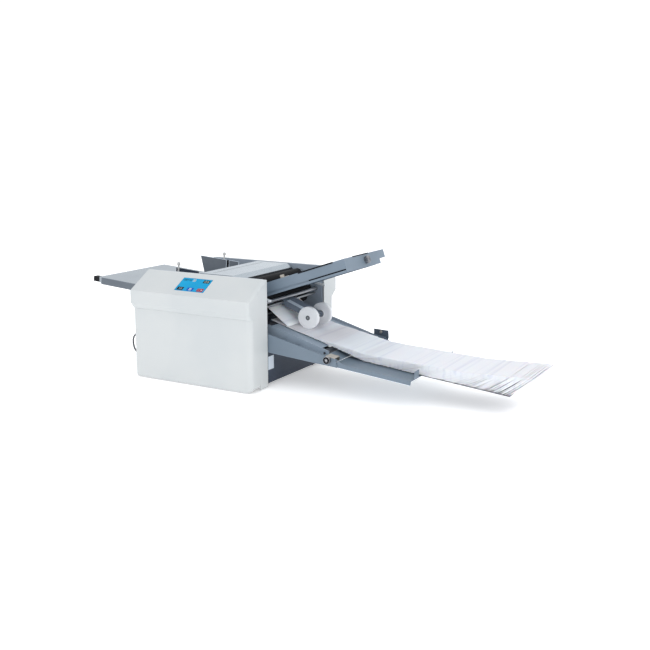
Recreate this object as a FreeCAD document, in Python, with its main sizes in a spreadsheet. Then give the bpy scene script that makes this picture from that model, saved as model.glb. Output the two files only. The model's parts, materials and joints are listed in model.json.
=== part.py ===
import FreeCAD, Part
import math
import os
import re

import Sketcher

# A desk-top paper folding machine.  Paper lies on the infeed table at -X, is pulled under the
# feed cover, is folded between four rollers and two fold plates, and leaves over the conveyor
# at +X.  The operator stands at -Y.  X runs along the paper path, Y to the rear, Z up, in mm.

VECTOR = FreeCAD.Vector
UP = VECTOR(0, 0, 1)
ALONG_Y = VECTOR(0, 1, 0)
TOLERANCE = 0.001

document = FreeCAD.newDocument("paper_folding_machine")

DRIVING_SIZES = {
    # fits
    "seat_gap": 0.3,
    "running_gap": 0.05,
    "cut_room": 1,
    "join_lap": 1,
    # housing
    "body_length": 496,
    "frame_gap": 374,
    "frame_wall": 4,
    "frame_end_inset": 6,
    "frame_top": 368,
    "frame_corner": 12,
    "foot_height": 12,
    "foot_radius": 14,
    "foot_inset": 34,
    "pan_wall": 2,
    "pan_left_height": 251,
    "pan_right_height": 109,
    # hoods
    "cover_wall": 3,
    "hood_flat": 16,
    "front_hood_reach": 114,
    "rear_hood_reach": 98,
    "hood_band_top_share": 0.525,
    "hood_band_foot_share": 0.152,
    "seam_height": 246,
    "end_strip": 45,
    "hood_corner": 12,
    # panels
    "front_panel_reach": 100,
    "rear_panel_reach": 74,
    "panel_foot": 3,
    "panel_corner": 20,
    "foot_trim": 18,
    # screen
    "screen_length": 122,
    "screen_height": 68,
    "screen_thick": 4,
    "screen_middle": -5,
    "screen_corner": 4,
    "screen_down": 22,
    # board
    "board_length": 150,
    "board_height": 90,
    "board_thick": 1.6,
    "board_post_radius": 3,
    "board_post_length": 8,
    "board_x": -90,
    "board_z": 180,
    "board_edge": 8,
    # tie bars
    "tie_radius": 6,
    "front_tie_x": 218,
    "front_tie_z": 283,
    "low_tie_x": 190,
    "low_tie_z": 46,
    "table_tie_inset": 238,
    "inner_tie_inset": 40,
    "second_rest_inset": 40,
    # infeed table
    "table_right": 7.7,
    "table_feed_height": 285.4,
    "table_tilt": -4.2,
    "table_length": 500,
    "table_wall": 2,
    "table_flange": 27,
    "table_chamfer": 10,
    "table_side_gap": 0.5,
    "table_slot_wide": 9,
    "end_block_length": 28,
    "end_block_height": 18,
    "end_block_width": 22,
    # side guides
    "guide_spread": 110,
    "guide_wall": 2,
    "guide_foot": 24,
    "far_guide_length": 152,
    "far_guide_height": 78,
    "far_guide_rake": 24,
    "near_guide_length": 100,
    "near_guide_height": 68,
    "post_radius": 3,
    "post_length": 12,
    "lock_knob_radius": 5.5,
    "lock_knob_length": 10,
    "far_guide_inset": 238,
    "near_guide_inset": 204,
    "far_screw_inset": 163,
    "near_screw_inset": 184,
    "guide_slot_wide": 12,
    "far_guide_slot": 96,
    "guide_slot_foot": 14,
    "guide_in": 60,
    "guide_out": 36,
    "nut_height": 4,
    "nut_radius": 7,
    "collar_radius": 5,
    # feed cover
    "lid_left": -33,
    "lid_length": 132,
    "lid_width": 355,
    "lid_wall": 2,
    "lid_lip": 34,
    "lid_lip_angle": 38,
    "knuckle_radius": 6,
    "hinge_pin_radius": 3,
    # feed group
    "feed_x": 40,
    "feed_shaft_radius": 8,
    "tyre_radius": 25,
    "tyre_width": 30,
    "tyre_pitch": 90,
    "separator_width": 40,
    "separator_length": 30,
    "pad_thick": 3,
    "holder_height": 12,
    "beam_size": 12,
    "shaft_end": 2,
    "guide_lap": 2,
    "guide_drop": 3,
    "feed_guide_length": 66,
    "feed_guide_skirt": 16,
    # fold rollers
    "roller_gap": 0.3,
    "roller_radius": 17.85,
    "roller_x": 187,
    "roller_z": 283,
    "upper_nip_turn": 105,
    "middle_nip_turn": 150,
    "lower_nip_turn": 240,
    "roller_end_gap": 4,
    "journal_radius": 8,
    "bush_wall": 3,
    "bush_fit": 0.02,
    "gear_teeth": 24,
    "tooth_flank_angle": 20,
    "gear_width": 8,
    "gear_gap": 5,
    "tooth_depth": 3,
    "gear_backlash": 0.35,
    # drive
    "pulley_width": 12,
    "pulley_radius": 30,
    "motor_pulley_radius": 12,
    "belt_thick": 1.5,
    "motor_x": 40,
    "motor_z": 100,
    "motor_radius": 35,
    "motor_length": 110,
    "motor_shaft_radius": 5,
    "shaft_room": 1,
    "belt_lift": 0.3,
    # first fold plate
    "plate_x": 236.8,
    "plate_z": 322.8,
    "plate_tilt": 18.9,
    "plate_length": 298.3,
    "plate_width": 286,
    "plate_wall": 2,
    "plate_rail_height": 32.5,
    "plate_mouth": 8,
    "plate_tail": 60,
    "plate_lip_drop": 12.5,
    "notch_length": 43,
    "notch_height": 17,
    "stop_inset": 78.3,
    "stop_thick": 6,
    "knob_radius": 12,
    "knob_length": 12,
    "knob_shaft_radius": 3,
    "channel_rise": 17,
    "sheet_flange": 6,
    "lower_tail": 36,
    "lip_slot": 4.5,
    "knob_rise": 10.6,
    "stop_room": 1,
    "stop_lug": 10,
    "stop_back": 160,
    "stop_ahead": 45,
    "rod_length": 262,
    "support_x": 195,
    "support_z": 312,
    "support_tilt": -11,
    "support_length": 64,
    "support_width": 8,
    "support_height": 7,
    "stud_inset": 12,
    "stud_radius": 4,
    # second fold plate
    "second_x": 130,
    "second_z": 226,
    "second_tilt": 30,
    "second_length": 300,
    "second_mouth": 6,
    "second_stop": 220,
    "second_width": 320,
    "second_wall": 2,
    # conveyor
    "bed_x": 207,
    "bed_z": 212,
    "bed_tilt": -15.5,
    "bed_length": 262,
    "bed_width": 296,
    "bed_wall": 2,
    "side_panel_drop": 44,
    "arm_wall": 3,
    "belt_roller_radius": 12,
    "belt_width": 30,
    "belt_pitch": 66,
    "conveyor_journal_radius": 4,
    "belt_roller_inset": 14,
    "belt_window": 30,
    "roller_side_gap": 1,
    "first_spacer_along": 100,
    "second_spacer_along": 150,
    "spacer_drop": 28,
    "spacer_radius": 5,
    "arm_root_x": 190,
    "arm_root_top": 197,
    "arm_root_bottom": 126,
    "arm_waist_x": 414,
    "arm_waist_bottom": 108,
    "arm_tip_x": 510,
    "arm_tip_rake": 7,
    "arm_tip_bottom": 101,
    "arm_tip_top": 130,
    "arm_knee_x": 451,
    "arm_knee_top": 138,
    "clamp_x": 477,
    "clamp_z": 124,
    "bracket_length": 34,
    "bracket_wall": 2,
    "bracket_reach": 32,
    "bracket_leg": 12,
    "far_bracket_x": 456,
    "far_bracket_length": 58,
    "far_bracket_top": 156,
    # extension
    "tray_x": 500,
    "tray_z": 116,
    "tray_tilt": -5.6,
    "tray_length": 270,
    "tray_wall": 1.5,
    "sheet_length": 292,
    "tray_lip": 14,
    "tray_tongue_wall": 2,
    "tongue_length": 100,
    "tongue_lap": 30,
    "tongue_top": 14,
    "tray_in": 30,
    "tray_out": 60,
    "tab_width": 34,
    "tab_height": 26,
    "tab_inset": 24,
    "sheet_overlap": 30,
    "sheet_width": 208,
    "sheet_wall": 1,
    # stacker
    "stacker_pivot_x": 212,
    "stacker_pivot_z": 266,
    "wheel_radius": 38,
    "wheel_width": 14,
    "wheel_spread": 46,
    "stacker_shaft_radius": 4,
    "stacker_arm_width": 68,
    "stacker_arm_wall": 2,
    "wheel_along": 108.5,
    "stacker_arm_leg": 18,
    "stacker_overhang": 6,
    "hub_radius": 12,
    "hub_proud": 3,
    # letters
    "letter_width": 216,
    "letter_under_wheel": 1.5,
    "letter_start": 0,
    "letter_landing": 62,
    "letter_lift": 2,
    "letter_fan": 64,
    "letter_stack": 24,
    "letter_tip_x": 1139,
    "letter_tip_z": 128,
    # power
    "switch_y": -60,
    "switch_z": 110,
    "rocker_tilt": 8,
    "cord_radius": 3,
    "cord_exit_y": -120,
    "cord_exit_z": 118,
    "switch_length": 28,
    "switch_height": 20,
    "switch_depth": 16,
    "switch_wall": 2,
    "switch_proud": 3,
    "rocker_gap": 0.8,
    "rocker_thick": 6,
    "relief_length": 30,
    "relief_flange": 3,
    "relief_flange_radius": 8,
    "relief_neck_radius": 6,
    "coil_radius": 33,
    "coil_columns": 2,
    "coil_height": 21,
    "coil_from_wall": -131,
    "coil_y": 70,
    "plug_lead": 20,
    "plug_tail_radius": 4.5,
    "plug_tail_length": 18,
    "plug_length": 34,
    "plug_width": 24,
    "plug_height": 20,
    "blade_thick": 1.6,
    "blade_length": 17,
    "blade_width": 6.4,
    "blade_spread": 12.7,
    "blade_lift": 4,
}

sheet = document.addObject("Spreadsheet::Sheet", "Sizes")
for row, (alias, amount) in enumerate(DRIVING_SIZES.items(), start=1):
    sheet.set(f"A{row}", alias)
    sheet.set(f"B{row}", str(amount))
    sheet.setAlias(f"B{row}", alias)
document.recompute()


def bound(formula):
    """Write a formula in size names as an expression on the sheet."""
    def cell(match):
        word = match.group(0)
        return f"Sizes.{word}" if word in DRIVING_SIZES else word
    return re.sub(r"[a-z][a-z_0-9]*", cell, str(formula))


def amount_of(formula):
    """Evaluate a formula in size names."""
    return float(sheet.evalExpression(bound(formula)))


pieces = {}


def keep(label, piece):
    """Name a finished sub-part, which is written to the file of that name."""
    piece.Label = label
    pieces[label] = piece
    return piece


def place(piece, x, y, z, tilt="0"):
    """Put a piece in the machine, its +X end raised by the tilt in degrees."""
    piece.Placement = FreeCAD.Placement(VECTOR(), FreeCAD.Rotation(VECTOR(0, -1, 0), 1))
    piece.setExpression("Placement.Base.x", bound(f"({x}) - ({MIDDLE_X})"))
    piece.setExpression("Placement.Base.y", bound(f"({y}) - ({MIDDLE_Y})"))
    piece.setExpression("Placement.Base.z", bound(z))
    piece.setExpression("Placement.Rotation.Angle", bound(f"mod({tilt}; 360)"))
    return piece


class Slope:
    """A sloping plane of the machine: pieces lie on it by distance along it and rise above it."""

    def __init__(self, x, z, tilt):
        self.x = x
        self.z = z
        self.tilt = tilt

    def at(self, along, rise):
        x = f"({self.x}) + ({along}) * cos({self.tilt}) - ({rise}) * sin({self.tilt})"
        z = f"({self.z}) + ({along}) * sin({self.tilt}) + ({rise}) * cos({self.tilt})"
        return x, z

    def place(self, piece, along, across, rise):
        x, z = self.at(along, rise)
        return place(piece, x, across, z, self.tilt)

    def place_along(self, piece, along, across, rise):
        """Put an upright piece with its axis laid along the slope."""
        x, z = self.at(along, rise)
        return place(piece, x, across, z, f"{self.tilt} - 90")


def new_body(label):
    return document.addObject("PartDesign::Body", label)


def origin_feature(body, role):
    return next(feature for feature in body.Origin.OriginFeatures if feature.Role == role)


def draw(body, plane, loops):
    """Sketch closed outlines on an origin plane: lists of corners, or (x, y, radius) circles."""
    sketch = body.newObject("Sketcher::SketchObject", f"{body.Name}_outline")
    sketch.AttachmentSupport = [(origin_feature(body, plane), "")]
    sketch.MapMode = "FlatFace"
    for loop in loops:
        first = sketch.GeometryCount
        if isinstance(loop, tuple):
            draw_circle(sketch, first, loop)
        else:
            draw_corners(sketch, first, loop)
    return sketch


def pin(sketch, kind, geometry, point, formula):
    row = sketch.addConstraint(Sketcher.Constraint(kind, -1, 1, geometry, point, amount_of(formula)))
    sketch.setExpression(f"Constraints[{row}]", bound(formula))


def draw_circle(sketch, first, loop):
    x, y, radius = loop
    middle = VECTOR(amount_of(x), amount_of(y), 0)
    sketch.addGeometry(Part.Circle(middle, UP, amount_of(radius)))
    pin(sketch, "DistanceX", first, 3, x)
    pin(sketch, "DistanceY", first, 3, y)
    row = sketch.addConstraint(Sketcher.Constraint("Radius", first, amount_of(radius)))
    sketch.setExpression(f"Constraints[{row}]", bound(radius))


def draw_corners(sketch, first, corners):
    points = [VECTOR(amount_of(x), amount_of(y), 0) for x, y in corners]
    count = len(points)
    for index, point in enumerate(points):
        sketch.addGeometry(Part.LineSegment(point, points[(index + 1) % count]))
    for index, (x, y) in enumerate(corners):
        following = first + (index + 1) % count
        sketch.addConstraint(Sketcher.Constraint("Coincident", first + index, 2, following, 1))
        pin(sketch, "DistanceX", first + index, 1, x)
        pin(sketch, "DistanceY", first + index, 1, y)


def pad(body, plane, loops, length):
    """Extrude outlines equally to both sides of an origin plane."""
    feature = body.newObject("PartDesign::Pad", f"{body.Name}_pad")
    feature.Profile = draw(body, plane, loops)
    feature.setExpression("Length", bound(length))
    feature.Midplane = True
    return body


def pocket(body, plane, loops, length=None):
    """Cut outlines equally to both sides of an origin plane, or right through."""
    feature = body.newObject("PartDesign::Pocket", f"{body.Name}_pocket")
    feature.Profile = draw(body, plane, loops)
    feature.Midplane = True
    if length is None:
        feature.Type = "ThroughAll"
    else:
        feature.setExpression("Length", bound(length))
    return body


def profile(label, plane, loops, length):
    """A piece of one outline, such as a plate or a folded sheet."""
    return pad(new_body(label), plane, loops, length)


def turned(label, steps, bore="0", upright=False):
    """A turned piece of (length, radius) steps along +Y, or along +Z if it stands upright."""
    body = new_body(label)
    corners = [(bore, "0")]
    reached = "0"
    for length, radius in steps:
        corners.append((radius, reached))
        reached = f"{reached} + {length}"
        corners.append((radius, reached))
    corners.append((bore, reached))
    sketch = draw(body, "XZ_Plane" if upright else "XY_Plane", [corners])
    feature = body.newObject("PartDesign::Revolution", f"{label}_turning")
    feature.Profile = sketch
    feature.ReferenceAxis = (sketch, ["V_Axis"])
    feature.Angle = 360
    return body


def round_edges(body, radius, wanted):
    """Fillet the edges of a body that the test picks."""
    document.recompute()
    solid = body.Tip
    names = [f"Edge{row}" for row, edge in enumerate(solid.Shape.Edges, start=1) if wanted(edge)]
    feature = body.newObject("PartDesign::Fillet", f"{body.Name}_round")
    feature.Base = (solid, names)
    feature.setExpression("Radius", bound(radius))
    return body


def shell(body, wall, opened):
    """Hollow a body to a wall, open at the faces that the test picks."""
    document.recompute()
    solid = body.Tip
    names = [f"Face{row}" for row, face in enumerate(solid.Shape.Faces, start=1) if opened(face)]
    feature = body.newObject("PartDesign::Thickness", f"{body.Name}_shell")
    feature.Base = (solid, names)
    feature.setExpression("Value", bound(wall))
    feature.Reversed = True
    return body


def block(label, length, width, height):
    """A rectangular piece with its corner at its own origin."""
    piece = document.addObject("Part::Box", label)
    piece.setExpression("Length", bound(length))
    piece.setExpression("Width", bound(width))
    piece.setExpression("Height", bound(height))
    return piece


def rod(label, radius, length, x, y, z):
    """A plain round bar along +Y from the point given."""
    return place(turned(label, [(length, radius)]), x, y, z)


def joined(label, first, *others):
    fusion = document.addObject("Part::MultiFuse", label)
    fusion.Shapes = [first, *others]
    return fusion


def cut(label, base, tool):
    result = document.addObject("Part::Cut", label)
    result.Base = base
    result.Tool = tool
    return result


def group(label, members):
    """Identical separate pieces that share one node."""
    result = document.addObject("Part::Compound", label)
    result.Links = members
    return keep(label, result)




# Places that several pieces share, as formulas in size names.
FRAME_INSIDE = "frame_gap / 2"
FRAME_MIDDLE = "(frame_gap / 2 + frame_wall / 2)"
FRAME_OUTSIDE = "(frame_gap / 2 + frame_wall)"
HOOD_INSIDE = "(frame_gap / 2 + frame_wall + seat_gap)"
FRAME_END = "(body_length / 2 - frame_end_inset)"

TABLE = Slope(
    "(table_right - table_length * cos(table_tilt))",
    "(table_feed_height - table_length * sin(table_tilt))",
    "table_tilt",
)
PLATE = Slope("plate_x", "plate_z", "plate_tilt")
SECOND = Slope("second_x", "second_z", "second_tilt")
BED = Slope("bed_x", "bed_z", "bed_tilt")
TRAY = Slope("tray_x", "tray_z", "tray_tilt")
TRAY_END = TRAY.at("tray_length", "seat_gap")
SHEET = Slope(TRAY_END[0], TRAY_END[1], "tray_tilt")
SUPPORT = Slope("support_x", "support_z", "support_tilt")

# The letters reach furthest to the right and the end block furthest to the left.
LEFTMOST_X = TABLE.at("-end_block_length", "-table_wall - end_block_height")[0]
RIGHTMOST_X = "letter_tip_x"
MIDDLE_X = f"(({LEFTMOST_X}) + ({RIGHTMOST_X})) / 2"

# Fold rollers: each nip turns the line of centres from one roller to the next.
NIP = "(2 * roller_radius + roller_gap)"
THIRD_X = "roller_x"
THIRD_Z = "roller_z"
SECOND_X = f"({THIRD_X} + {NIP} * cos(middle_nip_turn))"
SECOND_Z = f"({THIRD_Z} + {NIP} * sin(middle_nip_turn))"
FOURTH_X = f"({THIRD_X} + {NIP} * cos(lower_nip_turn))"
FOURTH_Z = f"({THIRD_Z} + {NIP} * sin(lower_nip_turn))"
FIRST_X = f"({SECOND_X} + {NIP} * cos(upper_nip_turn))"
FIRST_Z = f"({SECOND_Z} + {NIP} * sin(upper_nip_turn))"
ROLLER_PLACES = [(FIRST_X, FIRST_Z), (SECOND_X, SECOND_Z), (THIRD_X, THIRD_Z), (FOURTH_X, FOURTH_Z)]
HALF_TOOTH = "180 / gear_teeth"
GEAR_TURNS = [
    f"2 * upper_nip_turn - middle_nip_turn - {HALF_TOOTH}",
    "middle_nip_turn + 180",
    f"middle_nip_turn - {HALF_TOOTH}",
    "2 * lower_nip_turn - middle_nip_turn + 180",
]
BUSH_RADIUS = "(journal_radius + running_gap + bush_wall)"

FEED_Z = "(table_feed_height + (feed_x - table_right) * tan(table_tilt))"
FEED_AXIS_Z = f"({FEED_Z} + seat_gap + tyre_radius)"
HOOD_BAND_TOP = "(seam_height + hood_band_top_share * (frame_top - seam_height))"
HOOD_BAND_FOOT = "(seam_height + hood_band_foot_share * (frame_top - seam_height))"
LID_AXIS_Z = "(frame_top - knuckle_radius)"
LETTER_RISE = "(belt_lift + belt_thick + seat_gap)"
WHEEL_X, WHEEL_Z = BED.at("wheel_along", f"{LETTER_RISE} + letter_under_wheel + seat_gap + wheel_radius")
DRIVE_ROLLER_X, DRIVE_ROLLER_Z = BED.at("belt_roller_inset", "-belt_roller_radius")
IDLE_ROLLER_X, IDLE_ROLLER_Z = BED.at("bed_length - belt_roller_inset", "-belt_roller_radius")
UPPER_TIE_X, UPPER_TIE_Z = TABLE.at("(table_length - table_tie_inset)", "-table_wall - seat_gap - tie_radius")
INNER_TIE_X, INNER_TIE_Z = TABLE.at("table_length - inner_tie_inset", "-table_wall - seat_gap - tie_radius")
HIGH_REST_X, HIGH_REST_Z = SECOND.at("-second_rest_inset", "-seat_gap - tie_radius")
LOW_REST_X, LOW_REST_Z = SECOND.at("second_rest_inset - second_length", "-seat_gap - tie_radius")
TIE_PLACES = [
    ("front_tie_x", "front_tie_z"),
    ("low_tie_x", "low_tie_z"),
    ("-low_tie_x", "low_tie_z"),
    (UPPER_TIE_X, UPPER_TIE_Z),
    (INNER_TIE_X, INNER_TIE_Z),
    (HIGH_REST_X, HIGH_REST_Z),
    (LOW_REST_X, LOW_REST_Z),
]
# The operator's covers reach further out than the rear ones.
MIDDLE_Y = "((rear_hood_reach - front_hood_reach) / 2)"




def make_base_pan():
    """Folded floor of the machine with an end wall at each end, between the side frames."""
    left = f"-{FRAME_END}"
    right = FRAME_END
    corners = [
        (left, "foot_height"),
        (right, "foot_height"),
        (right, "foot_height + pan_right_height"),
        (f"{right} - pan_wall", "foot_height + pan_right_height"),
        (f"{right} - pan_wall", "foot_height + pan_wall"),
        (f"{left} + pan_wall", "foot_height + pan_wall"),
        (f"{left} + pan_wall", "foot_height + pan_left_height"),
        (left, "foot_height + pan_left_height"),
    ]
    pan = profile("base_pan", "XZ_Plane", [corners], "frame_gap")
    window = [
        ("switch_y - switch_length / 2 - seat_gap", "switch_z - switch_height / 2 - seat_gap"),
        ("switch_y + switch_length / 2 + seat_gap", "switch_z - switch_height / 2 - seat_gap"),
        ("switch_y + switch_length / 2 + seat_gap", "switch_z + switch_height / 2 + seat_gap"),
        ("switch_y - switch_length / 2 - seat_gap", "switch_z + switch_height / 2 + seat_gap"),
    ]
    cord_hole = ("cord_exit_y", "cord_exit_z", "relief_neck_radius + seat_gap")
    feature = pan.newObject("PartDesign::Pocket", "left_wall_openings")
    feature.Profile = draw(pan, "YZ_Plane", [window, cord_hole])
    feature.Type = "Length"
    feature.setExpression("Length", bound("body_length"))
    feature.Reversed = False
    keep("base_pan", place(pan, "0", "0", "0"))


def make_frame(label, side):
    """Side frame plate with a hole for each shaft, and its four fold roller bushes."""
    edge = FRAME_END
    corners = [
        (f"-{edge}", "foot_height"),
        (edge, "foot_height"),
        (edge, "frame_top - frame_corner"),
        (f"{edge} - frame_corner", "frame_top"),
        (f"frame_corner - {edge}", "frame_top"),
        (f"-{edge}", "frame_top - frame_corner"),
    ]
    holes = [(x, z, f"{BUSH_RADIUS} + bush_fit") for x, z in ROLLER_PLACES]
    holes.append(("feed_x", FEED_AXIS_Z, "feed_shaft_radius + running_gap"))
    holes.append((DRIVE_ROLLER_X, DRIVE_ROLLER_Z, "conveyor_journal_radius + running_gap"))
    if side == "1":
        holes.append(("motor_x", "motor_z", "motor_shaft_radius + shaft_room"))
    plate = profile(f"{label}_plate", "XZ_Plane", [corners, *holes], "frame_wall")
    members = [place(plate, "0", f"{side} * {FRAME_MIDDLE}", "0")]
    for x, z in ROLLER_PLACES:
        name = f"{label}_bush_{len(members)}"
        bush = turned(name, [("frame_wall", BUSH_RADIUS)], bore="journal_radius + running_gap")
        members.append(place(bush, x, f"{side} * {FRAME_MIDDLE} - frame_wall / 2", z))
    group(label, members)


def make_cross_rods():
    """Tie bars between the side frames, the feed cover's hinge rod and the stacker's pivot rod."""
    bars = [
        rod("cover_hinge_rod", "hinge_pin_radius", "frame_gap", "lid_left", "-frame_gap / 2", LID_AXIS_Z),
        rod("stacker_pivot_rod", "stacker_shaft_radius", "frame_gap", "stacker_pivot_x", "-frame_gap / 2",
            "stacker_pivot_z"),
    ]
    for number, (x, z) in enumerate(TIE_PLACES, start=1):
        bars.append(rod(f"tie_bar_{number}", "tie_radius", "frame_gap", x, "-frame_gap / 2", z))
    group("cross_rods", bars)


def make_feet():
    feet = []
    across = f"({FRAME_INSIDE} - foot_inset)"
    along = f"({FRAME_END} - foot_inset)"
    for row, (x, y) in enumerate([("-1", "-1"), ("-1", "1"), ("1", "-1"), ("1", "1")], start=1):
        steps = [("foot_height", "foot_radius")]
        foot = turned(f"foot_{row}", steps, upright=True)
        feet.append(place(foot, f"{x} * {along}", f"{y} * {across}", "0"))
    group("rubber_feet", feet)


def hood_outline(hood_reach, panel_reach):
    """Half section of a hood: flat top, slope, upright band and tapered skirt."""
    return [
        ("0", "seam_height"),
        ("0", "frame_top"),
        ("hood_flat", "frame_top"),
        (hood_reach, HOOD_BAND_TOP),
        (hood_reach, HOOD_BAND_FOOT),
        (panel_reach, "seam_height"),
    ]


def is_hood_corner(edge):
    """An outer edge of a hood's end face, below and outside the flat top."""
    box = edge.BoundBox
    at_end = abs(abs(box.Center.x) - amount_of("body_length / 2")) < TOLERANCE and box.XLength < TOLERANCE
    outside = abs(box.Center.y) > amount_of("hood_flat")
    return at_end and outside and box.ZMax > amount_of("seam_height + hood_corner")


def make_hood(label, side, hood_reach, panel_reach):
    """Moulded hood over one side frame, with a strip that runs down each end of the machine."""
    outline = [(f"{side} * {y}", z) for y, z in hood_outline(hood_reach, panel_reach)]
    hood = profile(f"{label}_shell", "YZ_Plane", [outline], "body_length")
    round_edges(hood, "hood_corner", is_hood_corner)
    height = amount_of("seam_height")
    shell(hood, "cover_wall", lambda face: is_open_side(face, height))
    place(hood, "0", f"{side} * {HOOD_INSIDE}", "0")
    parts = [hood]
    for end, x in (("infeed", "-body_length / 2"), ("outfeed", "body_length / 2 - cover_wall")):
        strip = block(f"{label}_{end}_strip", "cover_wall", "end_strip", "seam_height - panel_foot")
        y = f"{side} * ({HOOD_INSIDE} + end_strip / 2) - end_strip / 2"
        parts.append(place(strip, x, y, "panel_foot"))
    return joined(label, *parts)


def is_open_side(face, height):
    """The face towards the frame and the face at the seam."""
    box = face.BoundBox
    towards_frame = box.YLength < TOLERANCE and abs(box.YMin) < TOLERANCE
    at_seam = box.ZLength < TOLERANCE and abs(box.ZMin - height) < TOLERANCE
    return towards_frame or at_seam


SLANT_RUN = "(front_hood_reach - hood_flat)"
SLANT_FALL = f"(frame_top - {HOOD_BAND_TOP})"
SLANT_LENGTH = f"sqrt({SLANT_RUN} ^ 2 + {SLANT_FALL} ^ 2)"


def on_slant(piece, x, down, depth):
    """Lay a piece on the operator's slope: distance down from its top edge, depth below the face."""
    turn = f"atan({SLANT_FALL} / {SLANT_RUN})"
    piece.Placement = FreeCAD.Placement(VECTOR(), FreeCAD.Rotation(VECTOR(1, 0, 0), 1))
    piece.setExpression("Placement.Rotation.Angle", bound(turn))
    y = (f"-({HOOD_INSIDE} + hood_flat) - ({down}) * {SLANT_RUN} / {SLANT_LENGTH}"
         f" + ({depth}) * {SLANT_FALL} / {SLANT_LENGTH}")
    z = (f"frame_top - ({down}) * {SLANT_FALL} / {SLANT_LENGTH}"
         f" - ({depth}) * {SLANT_RUN} / {SLANT_LENGTH}")
    piece.setExpression("Placement.Base.x", bound(f"({x}) - ({MIDDLE_X})"))
    piece.setExpression("Placement.Base.y", bound(f"({y}) - ({MIDDLE_Y})"))
    piece.setExpression("Placement.Base.z", bound(z))
    return piece


def make_front_hood():
    """The operator's hood has a window in its slope for the touch screen."""
    hood = make_hood("front_hood_blank", "-1", "front_hood_reach", "front_panel_reach")
    window = block("screen_window", "screen_length + 2 * seat_gap", "screen_height + 2 * seat_gap",
                   "screen_thick + cover_wall")
    on_slant(window, "screen_middle - screen_length / 2 - seat_gap",
             "screen_down + screen_height + seat_gap", "screen_thick")
    keep("front_hood", cut("front_hood", hood, window))


def make_touch_screen():
    outline = [
        ("0", "0"),
        ("screen_length", "0"),
        ("screen_length", "screen_height"),
        ("0", "screen_height"),
    ]
    screen = new_body("touch_screen")
    feature = screen.newObject("PartDesign::Pad", "screen_glass")
    feature.Profile = draw(screen, "XY_Plane", [outline])
    feature.setExpression("Length", bound("screen_thick"))
    round_edges(screen, "screen_corner", lambda edge: edge.BoundBox.ZLength > TOLERANCE)
    on_slant(screen, "screen_middle - screen_length / 2", "screen_down + screen_height", "screen_thick")
    keep("touch_screen", screen)


def make_panel(label, side, panel_reach):
    """Access panel under a hood: a tray-like cover that wraps round both ends."""
    outer = f"{side} * {panel_reach}"
    inner = f"{side} * (end_strip + seat_gap)"
    half = "body_length / 2"
    outline = [
        (f"-{half}", inner),
        (f"-{half}", outer),
        (half, outer),
        (half, inner),
        (f"{half} - cover_wall", inner),
        (f"{half} - cover_wall", f"{side} * ({panel_reach} - cover_wall)"),
        (f"cover_wall - {half}", f"{side} * ({panel_reach} - cover_wall)"),
        (f"cover_wall - {half}", inner),
    ]
    tall = "(seam_height - seat_gap - panel_foot)"
    panel = profile(label, "XY_Plane", [outline], tall)
    reach = amount_of(panel_reach)
    half_length = amount_of(half)

    wall = amount_of("cover_wall")

    def is_corner(edge, inset):
        middle = edge.BoundBox.Center
        upright = edge.BoundBox.ZLength > TOLERANCE
        at_face = abs(abs(middle.y) - reach + inset) < TOLERANCE
        return upright and at_face and abs(abs(middle.x) - half_length + inset) < TOLERANCE

    round_edges(panel, "panel_corner", lambda edge: is_corner(edge, 0))
    round_edges(panel, "panel_corner - cover_wall", lambda edge: is_corner(edge, wall))
    round_panel_foot(panel)
    keep(label, place(panel, "0", f"{side} * {HOOD_INSIDE}", f"panel_foot + {tall} / 2"))


def round_panel_foot(panel):
    """Trim the two lower corners of the panel's broad face to a slope."""
    low = "-(seam_height - seat_gap - panel_foot) / 2"
    half = "body_length / 2"
    loops = []
    for end in ("-1", "1"):
        loops.append([
            (f"{end} * ({half} + cut_room)", f"{low} - cut_room"),
            (f"{end} * ({half} - foot_trim)", f"{low} - cut_room"),
            (f"{end} * ({half} - foot_trim)", low),
            (f"{end} * ({half} - foot_trim / 4)", f"{low} + foot_trim / 4"),
            (f"{end} * {half}", f"{low} + foot_trim"),
            (f"{end} * ({half} + cut_room)", f"{low} + foot_trim"),
        ])
    pocket(panel, "XZ_Plane", loops)


def make_control_board():
    """Circuit board on four posts, on the outside of the operator's frame."""
    board = block("board_plate", "board_length", "board_thick", "board_height")
    place(board, "board_x", f"-{FRAME_OUTSIDE} - board_post_length - board_thick", "board_z")
    posts = []
    for row, (x, z) in enumerate([("0", "0"), ("0", "1"), ("1", "0"), ("1", "1")], start=1):
        post_x = f"board_x + board_edge + {x} * (board_length - 2 * board_edge)"
        post_z = f"board_z + board_edge + {z} * (board_height - 2 * board_edge)"
        posts.append(rod(f"board_post_{row}", "board_post_radius", "board_post_length", post_x,
                         f"-{FRAME_OUTSIDE} - board_post_length", post_z))
    keep("control_board", joined("control_board", board, *posts))


def make_housing():
    make_base_pan()
    make_frame("front_frame", "-1")
    make_frame("rear_frame", "1")
    make_cross_rods()
    make_feet()
    make_front_hood()
    keep("rear_hood", make_hood("rear_hood", "1", "rear_hood_reach", "rear_panel_reach"))
    make_touch_screen()
    make_panel("front_panel", "-1", "front_panel_reach")
    make_panel("rear_panel", "1", "rear_panel_reach")
    make_control_board()


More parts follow.
